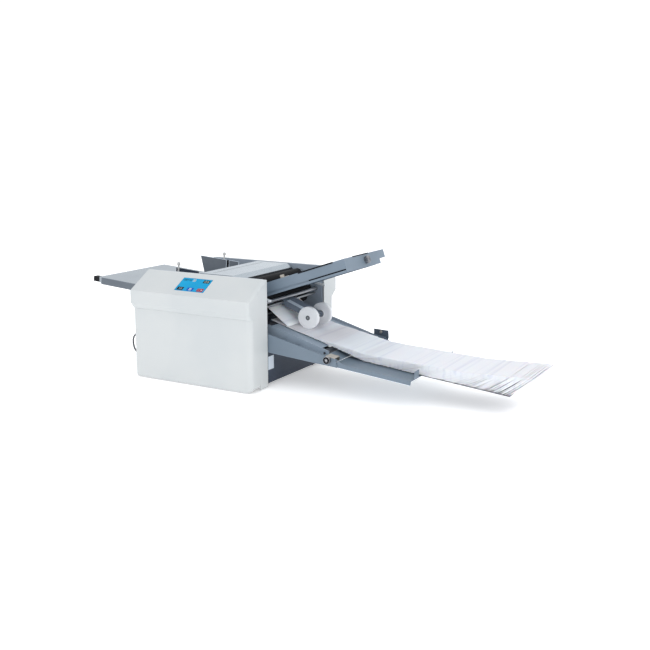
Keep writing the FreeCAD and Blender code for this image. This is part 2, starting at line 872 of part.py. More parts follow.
def make_infeed_table():
    """Folded table with turned-down sides and a cross slot for each guide's clamp screw."""
    half = f"({FRAME_INSIDE} - table_side_gap)"
    section = [
        (f"-{half}", "0"),
        (half, "0"),
        (half, "-table_flange"),
        (f"{half} - table_wall", "-table_flange"),
        (f"{half} - table_wall", "-table_wall"),
        (f"table_wall - {half}", "-table_wall"),
        (f"table_wall - {half}", "-table_flange"),
        (f"-{half}", "-table_flange"),
    ]
    table = profile("infeed_table", "YZ_Plane", [section], "table_length")
    left = "-table_length / 2"
    corner = [
        (f"{left} - cut_room", "-table_flange - cut_room"),
        (f"{left} + table_chamfer", "-table_flange - cut_room"),
        (f"{left} + table_chamfer", "-table_flange"),
        (left, "table_chamfer - table_flange"),
        (f"{left} - cut_room", "table_chamfer - table_flange"),
    ]
    rest = "-table_wall - seat_gap - tie_radius"
    passages = [(f"{along} - table_length / 2", rest, "tie_radius + seat_gap / 2")
                for along in ("(table_length - table_tie_inset)", "table_length - inner_tie_inset")]
    pocket(table, "XZ_Plane", [corner, *passages])
    inner = "guide_spread + guide_wall + guide_foot / 2 - guide_in - table_slot_wide / 2"
    outer = "guide_spread + guide_wall + guide_foot / 2 + guide_out + table_slot_wide / 2"
    slots = []
    screws = (("-1", "(table_length - near_screw_inset)"), ("1", "(table_length - far_screw_inset)"))
    for side, along in screws:
        slots.append([
            (f"{along} - table_length / 2 - table_slot_wide / 2", f"{side} * ({inner})"),
            (f"{along} - table_length / 2 + table_slot_wide / 2", f"{side} * ({inner})"),
            (f"{along} - table_length / 2 + table_slot_wide / 2", f"{side} * ({outer})"),
            (f"{along} - table_length / 2 - table_slot_wide / 2", f"{side} * ({outer})"),
        ])
    pocket(table, "XY_Plane", slots, "4 * table_wall")
    keep("infeed_table", TABLE.place(table, "table_length / 2", "0", "0"))


def make_end_block():
    """Rubber buffer on the table's outer corner."""
    buffer = block("table_end_block", "end_block_length", "end_block_width", "end_block_height")
    side = f"-({FRAME_INSIDE} - table_side_gap)"
    keep("table_end_block", TABLE.place(buffer, "-end_block_length", side, "-table_wall - end_block_height"))


def make_guide(label, side, start, length, height, rake, screw, slot):
    """Upright paper guide with a foot that lies on the table, pierced for its clamp screw."""
    wall = [
        ("0", "seat_gap"),
        (length, "seat_gap"),
        (length, height),
        (f"-{rake}", height),
    ]
    if slot:
        wall = [
            ("0", "seat_gap"),
            (length, "seat_gap"),
            (length, height),
            (f"{slot} + guide_slot_wide", height),
            (f"{slot} + guide_slot_wide", "guide_slot_foot"),
            (slot, "guide_slot_foot"),
            (slot, height),
            (f"-{rake}", height),
        ]
    upright = profile(f"{label}_wall", "XZ_Plane", [wall], "guide_wall")
    TABLE.place(upright, start, f"{side} * (guide_spread + guide_wall / 2)", "0")
    foot = [
        ("0", "-guide_foot / 2"),
        (length, "-guide_foot / 2"),
        (length, "guide_foot / 2"),
        ("0", "guide_foot / 2"),
    ]
    hole = (f"{screw} - {start}", "0", "post_radius + running_gap")
    lower = profile(f"{label}_foot", "XY_Plane", [foot, hole], "guide_wall")
    TABLE.place(lower, start, f"{side} * (guide_spread + guide_wall + guide_foot / 2)",
                "seat_gap + guide_wall / 2")
    keep(label, joined(label, upright, lower))


def make_guide_screw(label, side, screw, height):
    """Clamp screw of a guide: shank through foot and table, nut below, tall knurled head above."""
    steps = [
        ("nut_height", "nut_radius"),
        ("table_wall + 2 * seat_gap + guide_wall + seat_gap", "post_radius"),
        ("nut_height", "collar_radius"),
        (f"{height} + post_length - nut_height - guide_wall", "post_radius"),
        ("lock_knob_length", "lock_knob_radius"),
    ]
    screw_piece = turned(label, steps, upright=True)
    TABLE.place(screw_piece, screw, f"{side} * (guide_spread + guide_wall + guide_foot / 2)",
                "-table_wall - seat_gap - nut_height")
    keep(label, screw_piece)


def make_guides():
    make_guide("far_guide", "1", "(table_length - far_guide_inset)", "far_guide_length",
               "far_guide_height", "far_guide_rake", "(table_length - far_screw_inset)", "far_guide_slot")
    make_guide("near_guide", "-1", "(table_length - near_guide_inset)", "near_guide_length",
               "near_guide_height", "0", "(table_length - near_screw_inset)", None)
    make_guide_screw("far_guide_screw", "1", "(table_length - far_screw_inset)", "far_guide_height")
    make_guide_screw("near_guide_screw", "-1", "(table_length - near_screw_inset)", "near_guide_height")


def make_feed_cover():
    """Hinged cover over the feed rollers: rolled knuckle, flat top and a sloping lip."""
    cover = new_body("feed_cover")
    knuckle = [("0", "0", "knuckle_radius"), ("0", "0", "hinge_pin_radius + running_gap")]
    pad(cover, "XZ_Plane", knuckle, "lid_width")
    top = "knuckle_radius"
    under = "(knuckle_radius - lid_wall)"
    fold = "lid_length"
    lip_x = "(lid_length + lid_lip * cos(lid_lip_angle))"
    lip_z = "(knuckle_radius - lid_lip * sin(lid_lip_angle))"
    leaf = [
        ("0", top),
        (fold, top),
        (lip_x, lip_z),
        (f"{lip_x} - lid_wall * sin(lid_lip_angle)", f"{lip_z} - lid_wall * cos(lid_lip_angle)"),
        (f"{fold} - lid_wall * tan(lid_lip_angle / 2)", under),
        ("0", under),
    ]
    pad(cover, "XZ_Plane", [leaf], "lid_width")
    keep("feed_cover", place(cover, "lid_left", "0", LID_AXIS_Z))


def make_feed_group():
    """Feed shaft with its rubber tyres, over the separator pad on its holder and beam."""
    shaft = rod("feed_shaft", "feed_shaft_radius", "frame_gap + 2 * frame_wall + 2 * shaft_end", "feed_x",
                f"-{FRAME_OUTSIDE} - shaft_end", FEED_AXIS_Z)
    members = [shaft]
    for step in ("-1", "0", "1"):
        name = f"feed_tyre_{len(members)}"
        tyre = turned(name, [("tyre_width", "tyre_radius")], bore="feed_shaft_radius + bush_fit")
        members.append(place(tyre, "feed_x", f"{step} * tyre_pitch - tyre_width / 2", FEED_AXIS_Z))
    group("feed_roller", members)
    pad_top = FEED_Z
    beam = block("separator_beam", "beam_size", "frame_gap", "beam_size")
    beam_z = f"{pad_top} - pad_thick - holder_height - beam_size"
    place(beam, "feed_x - beam_size / 2", "-frame_gap / 2", beam_z)
    holder = block("separator_holder", "separator_length", "separator_width", "holder_height")
    place(holder, "feed_x - separator_length / 2", "-separator_width / 2",
          f"{pad_top} - pad_thick - holder_height")
    friction = block("separator_pad", "separator_length", "separator_width", "pad_thick")
    place(friction, "feed_x - separator_length / 2", "-separator_width / 2", f"{pad_top} - pad_thick")
    group("separator", [beam, holder, friction])
    make_feed_guide()


def make_feed_guide():
    """Folded sheet that leads the paper from the feed tyres up to the first nip."""
    start_x = "(feed_x + tyre_radius - guide_lap)"
    rise = f"({FIRST_Z} / 2 + {SECOND_Z} / 2 - {FEED_Z})"
    run = f"({FIRST_X} / 2 + {SECOND_X} / 2 - feed_x)"
    guide = Slope(start_x, f"{FEED_Z} + guide_drop", f"atan({rise} / {run})")
    section = [
        ("0", "0"),
        ("feed_guide_length", "0"),
        ("feed_guide_length", "-pan_wall"),
        ("pan_wall", "-pan_wall"),
        ("pan_wall", "-feed_guide_skirt"),
        ("0", "-feed_guide_skirt"),
    ]
    sheet_guide = profile("feed_guide", "XZ_Plane", [section], "frame_gap")
    keep("feed_guide", guide.place(sheet_guide, "0", "0", "0"))


def make_fold_rollers():
    """Four equal fold rollers; their rear journals carry the gear train."""
    inner = "(frame_wall + roller_end_gap)"
    gear_seat = "(gear_gap + gear_width)"
    for number, (x, z) in enumerate(ROLLER_PLACES, start=1):
        tail = f"{gear_seat} + gear_gap + pulley_width" if number == 2 else gear_seat
        steps = [
            (f"{inner} + shaft_end", "journal_radius"),
            ("frame_gap - 2 * roller_end_gap", "roller_radius"),
            (f"{inner} + {tail}", "journal_radius"),
        ]
        roller = turned(f"roller_{number}_core", steps)
        place(roller, x, f"-{FRAME_OUTSIDE} - shaft_end", z)
        gear = make_fold_gear(number, x, z, GEAR_TURNS[number - 1])
        keep(f"fold_roller_{number}", joined(f"fold_roller_{number}", roller, gear))


def make_fold_gear(number, x, z, turn):
    """Spur gear on a fold roller; the first tooth space lies along its own +X."""
    pitch = f"({NIP} / 2)"
    tip = f"({pitch} + tooth_depth / 2 - running_gap)"
    root = f"({pitch} - tooth_depth / 2 - gear_backlash)"
    gear = new_body(f"fold_gear_{number}")
    pad(gear, "XZ_Plane", [("0", "0", tip)], "gear_width")
    half_pitch = f"({pitch} * pi / gear_teeth / 2 + gear_backlash / 2)"
    lean = "(tooth_depth / 2 * tan(tooth_flank_angle))"
    space = [
        (root, f"{lean} - {half_pitch}"),
        (f"{tip} + cut_room", f"-{half_pitch} - {lean} - cut_room * tan(tooth_flank_angle)"),
        (f"{tip} + cut_room", f"{half_pitch} + {lean} + cut_room * tan(tooth_flank_angle)"),
        (root, f"{half_pitch} - {lean}"),
    ]
    pocket(gear, "XZ_Plane", [space])
    teeth = gear.newObject("PartDesign::PolarPattern", f"fold_gear_{number}_teeth")
    teeth.Originals = [gear.Tip]
    teeth.Axis = (origin_feature(gear, "Y_Axis"), [""])
    teeth.Angle = 360
    teeth.setExpression("Occurrences", bound("gear_teeth"))
    gear.Tip = teeth
    return place(gear, x, f"{FRAME_OUTSIDE} + gear_gap + gear_width / 2", z, turn)


def belt_outline(low, high, inset):
    """Closed wire round two pulleys: two tangent runs and an arc round each pulley."""
    (low_x, low_z, low_radius), (high_x, high_z, high_radius) = low, high
    run = VECTOR(high_x - low_x, 0, high_z - low_z)
    reach = run.Length
    ahead = run * (1 / reach)
    aside = VECTOR(-ahead.z, 0, ahead.x)
    lean = (low_radius - high_radius) / reach
    square = (1 - lean * lean) ** 0.5
    low_middle = VECTOR(low_x, 0, low_z)
    high_middle = VECTOR(high_x, 0, high_z)
    normals = [ahead * lean + aside * square, ahead * lean - aside * square]
    low_points = [low_middle + normal * (low_radius + inset) for normal in normals]
    high_points = [high_middle + normal * (high_radius + inset) for normal in normals]
    low_far = low_middle - ahead * (low_radius + inset)
    high_far = high_middle + ahead * (high_radius + inset)
    edges = [
        Part.LineSegment(low_points[0], high_points[0]).toShape(),
        Part.Arc(high_points[0], high_far, high_points[1]).toShape(),
        Part.LineSegment(high_points[1], low_points[1]).toShape(),
        Part.Arc(low_points[1], low_far, low_points[0]).toShape(),
    ]
    return Part.Wire(edges)


def make_belt(label, low, high, start, width, lift, thick):
    """Endless flat belt round two pulleys, each given as (x, z, radius) formulas."""
    ends = [tuple(amount_of(formula) for formula in end) for end in (low, high)]
    gap = amount_of(lift)
    outer = Part.Face(belt_outline(ends[0], ends[1], gap + amount_of(thick)))
    inner = Part.Face(belt_outline(ends[0], ends[1], gap))
    band = document.addObject("Part::Feature", label)
    band.Shape = outer.cut(inner).extrude(VECTOR(0, amount_of(width), 0))
    return place(band, "0", start, "0")


def make_drive():
    """Motor on the rear frame, belted to the pulley behind the second fold roller's gear."""
    pulley_y = f"({FRAME_OUTSIDE} + gear_gap + gear_width + gear_gap)"
    pulley = turned("drive_pulley", [("pulley_width", "pulley_radius")], bore="journal_radius + bush_fit")
    keep("drive_pulley", place(pulley, SECOND_X, pulley_y, SECOND_Z))
    steps = [("motor_length", "motor_radius")]
    motor = turned("motor_can", steps, bore="motor_shaft_radius + shaft_room")
    keep("drive_motor", place(motor, "motor_x", f"{FRAME_INSIDE} - motor_length", "motor_z"))
    reach = f"(frame_wall + 2 * gear_gap + gear_width)"
    steps = [
        (f"motor_length + {reach}", "motor_shaft_radius"),
        ("pulley_width", "motor_pulley_radius"),
    ]
    shaft = turned("motor_pulley", steps)
    keep("motor_pulley", place(shaft, "motor_x", f"{FRAME_INSIDE} - motor_length", "motor_z"))
    low = ("motor_x", "motor_z", "motor_pulley_radius")
    high = (SECOND_X, SECOND_Z, "pulley_radius")
    start = f"{pulley_y} + seat_gap"
    belt = make_belt("drive_belt", low, high, start, "pulley_width - 2 * seat_gap", "belt_lift", "belt_thick")
    keep("drive_belt", belt)


def make_infeed():
    make_infeed_table()
    make_end_block()
    make_guides()
    make_feed_cover()
    make_feed_group()
    make_fold_rollers()
    make_drive()


def make_plate_frame():
    """Folded frame of the first fold plate: two side rails, the end wall and the studs it rests on."""
    end = "plate_length"
    near_edge = [
        ("-plate_tail", "0"),
        (end, "0"),
        (end, "plate_rail_height"),
        ("-plate_tail", "plate_rail_height"),
    ]
    cut_rise = "(notch_height - plate_lip_drop)"
    far_edge = [
        ("-plate_tail", "0"),
        (f"{end} - notch_length", "0"),
        (f"{end} - notch_length", cut_rise),
        (end, cut_rise),
        (end, "plate_rail_height"),
        ("-plate_tail", "plate_rail_height"),
    ]
    parts = []
    for side, edge in (("-1", near_edge), ("1", far_edge)):
        web = profile(f"plate_web_{len(parts) + 1}", "XZ_Plane", [edge], "plate_wall")
        parts.append(PLATE.place(web, "0", f"{side} * (plate_width / 2 - plate_wall / 2)", "0"))
    half = "(plate_width / 2)"
    wall_edge = [
        (f"-{half}", "-plate_lip_drop"),
        (f"{half} - notch_length", "-plate_lip_drop"),
        (f"{half} - notch_length", cut_rise),
        (half, cut_rise),
        (half, "plate_rail_height"),
        (f"-{half}", "plate_rail_height"),
    ]
    loops = [wall_edge, ("0", "knob_rise", "knob_shaft_radius + running_gap")]
    wall = profile("plate_end_wall", "YZ_Plane", loops, "plate_wall")
    parts.append(PLATE.place(wall, f"{end} - plate_wall / 2", "0", "0"))
    stud_x, stud_z = SUPPORT.at("stud_inset", "stud_radius + seat_gap")
    reach = f"({FRAME_INSIDE} - {half} + plate_wall - seat_gap)"
    for side in ("-1", "1"):
        start = f"{half} - plate_wall" if side == "1" else f"seat_gap - {FRAME_INSIDE}"
        parts.append(rod(f"plate_stud_{len(parts)}", "stud_radius", reach, stud_x, start, stud_z))
    keep("plate_frame", joined("plate_frame", *parts))


def make_plate_sheets():
    """Upper and lower sheets of the first fold plate, with the paper channel between them."""
    half = "(plate_width / 2 - plate_wall - seat_gap)"
    top = "(channel_rise + plate_mouth)"
    length = "(plate_length - plate_wall - seat_gap)"
    upper_section = [
        (f"-{half}", f"{top} + sheet_flange"),
        (f"-{half}", top),
        (half, top),
        (half, f"{top} + sheet_flange"),
        (f"{half} - plate_wall", f"{top} + sheet_flange"),
        (f"{half} - plate_wall", f"{top} + plate_wall"),
        (f"plate_wall - {half}", f"{top} + plate_wall"),
        (f"plate_wall - {half}", f"{top} + sheet_flange"),
    ]
    upper = profile("plate_upper_sheet", "YZ_Plane", [upper_section], f"{length} + plate_tail")
    keep("plate_upper_sheet", PLATE.place(upper, f"({length} - plate_tail) / 2", "0", "0"))
    edge = "(plate_width / 2)"
    lower_section = [
        (f"-{half}", "channel_rise"),
        (half, "channel_rise"),
        (half, "-seat_gap - lip_slot"),
        (edge, "-seat_gap - lip_slot"),
        (edge, "-plate_lip_drop"),
        (f"{half} - plate_wall", "-plate_lip_drop"),
        (f"{half} - plate_wall", "channel_rise - plate_wall"),
        (f"plate_wall - {half}", "channel_rise - plate_wall"),
        (f"plate_wall - {half}", "-plate_lip_drop"),
        (f"-{edge}", "-plate_lip_drop"),
        (f"-{edge}", "-seat_gap - lip_slot"),
        (f"-{half}", "-seat_gap - lip_slot"),
    ]
    lower = profile("plate_lower_blank", "YZ_Plane", [lower_section], f"{length} + lower_tail")
    PLATE.place(lower, f"({length} - lower_tail) / 2", "0", "0")
    corner = block("plate_lower_corner", "notch_length", "notch_length",
                   "plate_lip_drop + channel_rise - plate_wall")
    PLATE.place(corner, "plate_length - notch_length", f"{edge} - notch_length + plate_wall",
                "-plate_lip_drop - plate_wall")
    slot = block("plate_lower_slot", "stop_back + stop_ahead + stop_lug + 2 * stop_room",
                 "stop_lug + 2 * stop_room", "3 * plate_wall")
    PLATE.place(slot, "plate_length - stop_inset - stop_back - stop_room", "-stop_lug / 2 - stop_room",
                "channel_rise - 2 * plate_wall")
    keep("plate_lower_sheet", cut("plate_lower_sheet", lower, joined("plate_lower_cuts", corner, slot)))


def make_plate_stop():
    """Paper stop across the channel, hung on the clamp rod by its lug, and the rod's knob."""
    bar = block("plate_stop_bar", "stop_thick", "plate_width - 2 * plate_wall - 2 * stop_room",
                "plate_mouth - 2 * seat_gap")
    PLATE.place(bar, "plate_length - stop_inset", "-plate_width / 2 + plate_wall + stop_room",
                "channel_rise + seat_gap")
    lug_height = "channel_rise + plate_mouth / 2 - knob_rise + stop_lug / 2"
    lug = block("plate_stop_lug", "stop_lug", "stop_lug", lug_height)
    PLATE.place(lug, "plate_length - stop_inset", "-stop_lug / 2", "knob_rise - stop_lug / 2")
    bore = turned("plate_stop_bore", [("2 * stop_lug", "knob_shaft_radius + running_gap")], upright=True)
    PLATE.place_along(bore, "plate_length - stop_inset - stop_lug / 2", "0", "knob_rise")
    keep("plate_stop", cut("plate_stop", joined("plate_stop_blank", bar, lug), bore))
    steps = [
        ("rod_length", "knob_shaft_radius"),
        ("seat_gap", "collar_radius"),
        ("knob_length", "knob_radius"),
    ]
    knob = turned("plate_stop_knob", steps, upright=True)
    keep("plate_stop_knob", PLATE.place_along(knob, "plate_length - rod_length", "0", "knob_rise"))


def make_plate_supports():
    """Flat bar on each side frame, on which the first fold plate's studs rest."""
    bars = []
    for side in ("-1", "1"):
        bar = block(f"support_bar_{len(bars) + 1}", "support_length", "support_width", "support_height")
        start = f"-{FRAME_INSIDE}" if side == "-1" else f"{FRAME_INSIDE} - support_width"
        bars.append(SUPPORT.place(bar, "0", start, "-support_height"))
    group("plate_support_bars", bars)


def make_second_plate():
    """Second fold plate inside the housing: two sheets joined by side strips, and its stop."""
    top = "(second_wall + second_mouth)"
    parts = []
    for rise in ("0", top):
        leaf = block(f"second_leaf_{len(parts) + 1}", "second_length", "second_width", "second_wall")
        parts.append(SECOND.place(leaf, "-second_length", "-second_width / 2", rise))
    for start in ("-second_width / 2", "second_width / 2 - second_wall"):
        strip = block(f"second_strip_{len(parts) - 1}", "second_length", "second_wall", "second_mouth")
        parts.append(SECOND.place(strip, "-second_length", start, "second_wall"))
    keep("second_plate", joined("second_plate", *parts))
    bar = block("second_plate_stop", "stop_thick", "second_width - 2 * second_wall - 2 * stop_room",
                "second_mouth - 2 * seat_gap")
    start = "-second_width / 2 + second_wall + stop_room"
    keep("second_plate_stop", SECOND.place(bar, "-second_stop", start, "second_wall + seat_gap"))


def make_fold_plates():
    make_plate_frame()
    make_plate_sheets()
    make_plate_stop()
    make_plate_supports()
    make_second_plate()


def make_conveyor_arm(label, side):
    """Cranked side arm, bolted inside the frame, with the two spacers that carry the bed."""
    corners = [
        ("arm_root_x", "arm_root_bottom"),
        ("arm_waist_x", "arm_waist_bottom"),
        ("arm_tip_x", "arm_tip_bottom"),
        ("arm_tip_x - arm_tip_rake", "arm_tip_top"),
        ("arm_knee_x", "arm_knee_top"),
        ("arm_root_x", "arm_root_top"),
    ]
    screw = ("clamp_x", "clamp_z", "knob_shaft_radius + running_gap")
    arm = profile(f"{label}_plate", "XZ_Plane", [corners, screw], "arm_wall")
    parts = [place(arm, "0", f"{side} * ({FRAME_INSIDE} - arm_wall / 2)", "0")]
    start = f"-{FRAME_INSIDE} + arm_wall / 2" if side == "-1" else "bed_width / 2"
    for along in ("first_spacer_along", "second_spacer_along"):
        x, z = BED.at(along, "-spacer_drop")
        length = f"{FRAME_INSIDE} - arm_wall / 2 - bed_width / 2"
        parts.append(rod(f"{label}_spacer_{len(parts)}", "spacer_radius", length, x, start, z))
    keep(label, joined(label, *parts))


def make_conveyor_bed():
    """Folded bed under the belts; its sides carry the rollers."""
    half = "(bed_width / 2)"
    section = [
        (f"-{half}", "0"),
        (half, "0"),
        (half, "-side_panel_drop"),
        (f"{half} - bed_wall", "-side_panel_drop"),
        (f"{half} - bed_wall", "-bed_wall"),
        (f"bed_wall - {half}", "-bed_wall"),
        (f"bed_wall - {half}", "-side_panel_drop"),
        (f"-{half}", "-side_panel_drop"),
    ]
    bed = profile("conveyor_bed", "YZ_Plane", [section], "bed_length")
    open_width = f"({half} - bed_wall - seat_gap)"
    windows = []
    for end in ("-1", "1"):
        windows.append([
            (f"{end} * (bed_length / 2 + 1)", f"-{open_width}"),
            (f"{end} * (bed_length / 2 - belt_window)", f"-{open_width}"),
            (f"{end} * (bed_length / 2 - belt_window)", open_width),
            (f"{end} * (bed_length / 2 + 1)", open_width),
        ])
    pocket(bed, "XY_Plane", windows, "4 * bed_wall")
    reach = "bed_length / 2 - belt_roller_inset"
    holes = [(f"{end} * ({reach})", "-belt_roller_radius", "conveyor_journal_radius + running_gap")
             for end in ("-1", "1")]
    pocket(bed, "XZ_Plane", holes)
    keep("conveyor_bed", BED.place(bed, "bed_length / 2", "0", "0"))


def make_conveyor_rollers():
    """Drive roller in the side frames and idle roller in the bed, with three flat belts."""
    body = "(bed_width - 2 * bed_wall - 2 * roller_side_gap)"
    drive_end = f"(frame_gap / 2 + frame_wall - {body} / 2)"
    idle_end = "(roller_side_gap + bed_wall + shaft_end)"
    for label, end, x, z in (("conveyor_drive_roller", drive_end, DRIVE_ROLLER_X, DRIVE_ROLLER_Z),
                             ("conveyor_idle_roller", idle_end, IDLE_ROLLER_X, IDLE_ROLLER_Z)):
        steps = [
            (end, "conveyor_journal_radius"),
            (body, "belt_roller_radius"),
            (end, "conveyor_journal_radius"),
        ]
        keep(label, place(turned(label, steps), x, f"-{body} / 2 - {end}", z))
    low = (DRIVE_ROLLER_X, DRIVE_ROLLER_Z, "belt_roller_radius")
    high = (IDLE_ROLLER_X, IDLE_ROLLER_Z, "belt_roller_radius")
    belts = []
    for step in ("-1", "0", "1"):
        label = f"belt_{len(belts) + 1}"
        start = f"{step} * belt_pitch - belt_width / 2"
        belts.append(make_belt(label, low, high, start, "belt_width", "belt_lift", "belt_thick"))
    group("conveyor_belts", belts)


def make_clamp_brackets():
    """Zinc leaf over the near arm's tip, and an upright plate on the far arm's tip."""
    inner = f"-({FRAME_INSIDE} - bracket_reach)"
    outer = f"-{FRAME_INSIDE}"
    section = [
        (outer, "0"),
        (inner, "0"),
        (inner, "-bracket_leg"),
        (f"{inner} + bracket_wall", "-bracket_leg"),
        (f"{inner} + bracket_wall", "bracket_wall"),
        (outer, "bracket_wall"),
    ]
    leaf = profile("near_clamp_bracket", "YZ_Plane", [section], "bracket_length")
    slope = Slope("arm_knee_x", "arm_knee_top",
                  "atan((arm_tip_top - arm_knee_top) / (arm_tip_x - arm_tip_rake - arm_knee_x))")
    middle = "arm_tip_x - arm_tip_rake - arm_knee_x - bracket_length / 2"
    keep("near_clamp_bracket", slope.place(leaf, middle, "0", "0"))
    corners = [
        ("far_bracket_x", "arm_tip_bottom"),
        ("arm_tip_x - 2 * bracket_wall", "arm_tip_bottom"),
        ("far_bracket_x + far_bracket_length", "arm_tip_top"),
        ("far_bracket_x + far_bracket_length - bracket_wall", "far_bracket_top - bracket_wall"),
        ("far_bracket_x", "far_bracket_top"),
    ]
    screw = ("clamp_x", "clamp_z", "knob_shaft_radius + running_gap")
    upright = profile("far_clamp_bracket", "XZ_Plane", [corners, screw], "bracket_wall")
    keep("far_clamp_bracket", place(upright, "0", f"{FRAME_INSIDE} + bracket_wall / 2", "0"))


def make_clamp_knob(label, side):
    """Knob whose screw passes through the arm and the slot of the extension."""
    backing = "bracket_wall" if side == "1" else "0"
    steps = [
        ("knob_length", "knob_radius"),
        ("seat_gap", "collar_radius"),
        (f"arm_wall + {backing} + 2 * seat_gap + tray_tongue_wall", "knob_shaft_radius"),
    ]
    if side == "1":
        steps.reverse()
        start = f"{FRAME_INSIDE} - arm_wall - seat_gap - tray_tongue_wall"
    else:
        start = f"-{FRAME_INSIDE} - 2 * seat_gap - knob_length"
    keep(label, place(turned(label, steps), "clamp_x", start, "clamp_z"))


def make_extension():
    """Sliding tray with turned-down lips, two slotted tongues and two end tabs."""
    half = f"({FRAME_INSIDE} - arm_wall - seat_gap)"
    section = [
        (f"-{half}", "0"),
        (half, "0"),
        (half, "-tray_lip"),
        (f"{half} - tray_wall", "-tray_lip"),
        (f"{half} - tray_wall", "-tray_wall"),
        (f"tray_wall - {half}", "-tray_wall"),
        (f"tray_wall - {half}", "-tray_lip"),
        (f"-{half}", "-tray_lip"),
    ]
    plate = profile("extension_plate", "YZ_Plane", [section], "tray_length")
    TRAY.place(plate, "tray_length / 2", "0", "0")
    parts = [plate]
    screw_along = "((clamp_x - tray_x) * cos(tray_tilt) + (clamp_z - tray_z) * sin(tray_tilt))"
    screw_rise = "((clamp_z - tray_z) * cos(tray_tilt) - (clamp_x - tray_x) * sin(tray_tilt))"
    slot_half = "(knob_shaft_radius + seat_gap)"
    tongue = [
        ("-tongue_length", "-tray_lip"),
        ("tongue_lap", "-tray_lip"),
        ("tongue_lap", "0"),
        ("0", "tongue_top"),
        ("-tongue_length", "tongue_top"),
    ]
    slot = [
        (f"{screw_along} - tray_out - {slot_half}", f"{screw_rise} - {slot_half}"),
        (f"{screw_along} + tray_in + {slot_half}", f"{screw_rise} - {slot_half}"),
        (f"{screw_along} + tray_in + {slot_half}", f"{screw_rise} + {slot_half}"),
        (f"{screw_along} - tray_out - {slot_half}", f"{screw_rise} + {slot_half}"),
    ]
    for side in ("-1", "1"):
        wall = profile(f"tongue_{len(parts)}", "XZ_Plane", [tongue, slot], "tray_tongue_wall")
        parts.append(TRAY.place(wall, "0", f"{side} * ({half} - tray_tongue_wall / 2)", "0"))
        tab = block(f"tab_{len(parts)}", "tray_wall", "tab_width", "tab_height + tray_wall")
        start = f"{side} * ({half} - tab_inset - tab_width / 2) - tab_width / 2"
        parts.append(TRAY.place(tab, "tray_length - tray_wall", start, "-tray_wall"))
    keep("extension_plate", joined("extension_plate", *parts))
    leaf = block("extension_sheet", "sheet_length + sheet_overlap", "sheet_width", "sheet_wall")
    keep("extension_sheet", SHEET.place(leaf, "-sheet_overlap", "-sheet_width / 2", "0"))


def make_stacker():
    """Sheet-metal arm that hangs on its rod and rests two wheels on the letters."""
    run = f"({WHEEL_X} - stacker_pivot_x)"
    fall = f"({WHEEL_Z} - stacker_pivot_z)"
    reach = f"sqrt({run} ^ 2 + {fall} ^ 2)"
    arm_slope = Slope("stacker_pivot_x", "stacker_pivot_z", f"atan({fall} / {run})")
    half = "(stacker_arm_width / 2)"
    section = [
        (f"-{half}", "-stacker_arm_leg / 2"),
        (f"-{half}", "stacker_arm_leg / 2"),
        (half, "stacker_arm_leg / 2"),
        (half, "-stacker_arm_leg / 2"),
        (f"{half} - stacker_arm_wall", "-stacker_arm_leg / 2"),
        (f"{half} - stacker_arm_wall", "stacker_arm_leg / 2 - stacker_arm_wall"),
        (f"stacker_arm_wall - {half}", "stacker_arm_leg / 2 - stacker_arm_wall"),
        (f"stacker_arm_wall - {half}", "-stacker_arm_leg / 2"),
    ]
    arm = profile("stacker_arm", "YZ_Plane", [section], f"{reach} + 2 * stacker_overhang")
    holes = [(f"{end} * {reach} / 2", "0", "stacker_shaft_radius + running_gap") for end in ("-1", "1")]
    pocket(arm, "XZ_Plane", holes)
    keep("stacker_arm", arm_slope.place(arm, f"{reach} / 2", "0", "0"))
    shaft_half = "(wheel_spread + wheel_width / 2 + shaft_end)"
    shaft = rod("stacker_wheel_shaft", "stacker_shaft_radius", f"2 * {shaft_half}", WHEEL_X,
                f"-{shaft_half}", WHEEL_Z)
    keep("stacker_wheel_shaft", shaft)
    wheels = []
    for label, side in (("near_stacker_wheel", "-1"), ("far_stacker_wheel", "1")):
        inner = ("hub_proud", "hub_radius")
        tread = ("wheel_width", "wheel_radius")
        steps = [tread, inner] if side == "-1" else [inner, tread]
        start = ("-wheel_spread - wheel_width / 2" if side == "-1"
                 else "wheel_spread - wheel_width / 2 - hub_proud")
        wheel = turned(label, steps, bore="stacker_shaft_radius + bush_fit")
        wheels.append(place(wheel, WHEEL_X, start, WHEEL_Z))
    group("stacker_wheels", wheels)


def make_letters():
    """Folded letters, shingled over the belts and fanned out on the extension."""
    under = LETTER_RISE
    on_sheet = "(sheet_wall + seat_gap)"
    lower = [
        BED.at("letter_start", under),
        BED.at("bed_length", under),
        TRAY.at("letter_landing", "letter_lift"),
        SHEET.at("0", on_sheet),
        SHEET.at("sheet_length", on_sheet),
        ("letter_tip_x - letter_stack / 2", "letter_tip_z - letter_stack"),
    ]
    upper = [
        ("letter_tip_x", "letter_tip_z"),
        SHEET.at("sheet_length", "letter_fan"),
        SHEET.at("sheet_length / 2", "2 * letter_fan / 3"),
        TRAY.at("tray_length", "3 * letter_stack / 2"),
        TRAY.at("letter_landing", "letter_lift + letter_stack"),
        BED.at("bed_length - belt_roller_inset", f"{under} + letter_stack / 2"),
        BED.at("wheel_along + wheel_radius", f"{under} + letter_under_wheel"),
        BED.at("letter_start", f"{under} + letter_under_wheel"),
    ]
    letters = profile("folded_letters", "XZ_Plane", [lower + upper], "letter_width")
    keep("folded_letters", place(letters, "0", "0", "0"))


def make_delivery():
    make_conveyor_arm("near_conveyor_arm", "-1")
    make_conveyor_arm("far_conveyor_arm", "1")
    make_conveyor_bed()
    make_conveyor_rollers()
    make_clamp_brackets()
    make_clamp_knob("near_clamp_knob", "-1")
    make_clamp_knob("far_clamp_knob", "1")
    make_extension()
    make_stacker()
    make_letters()


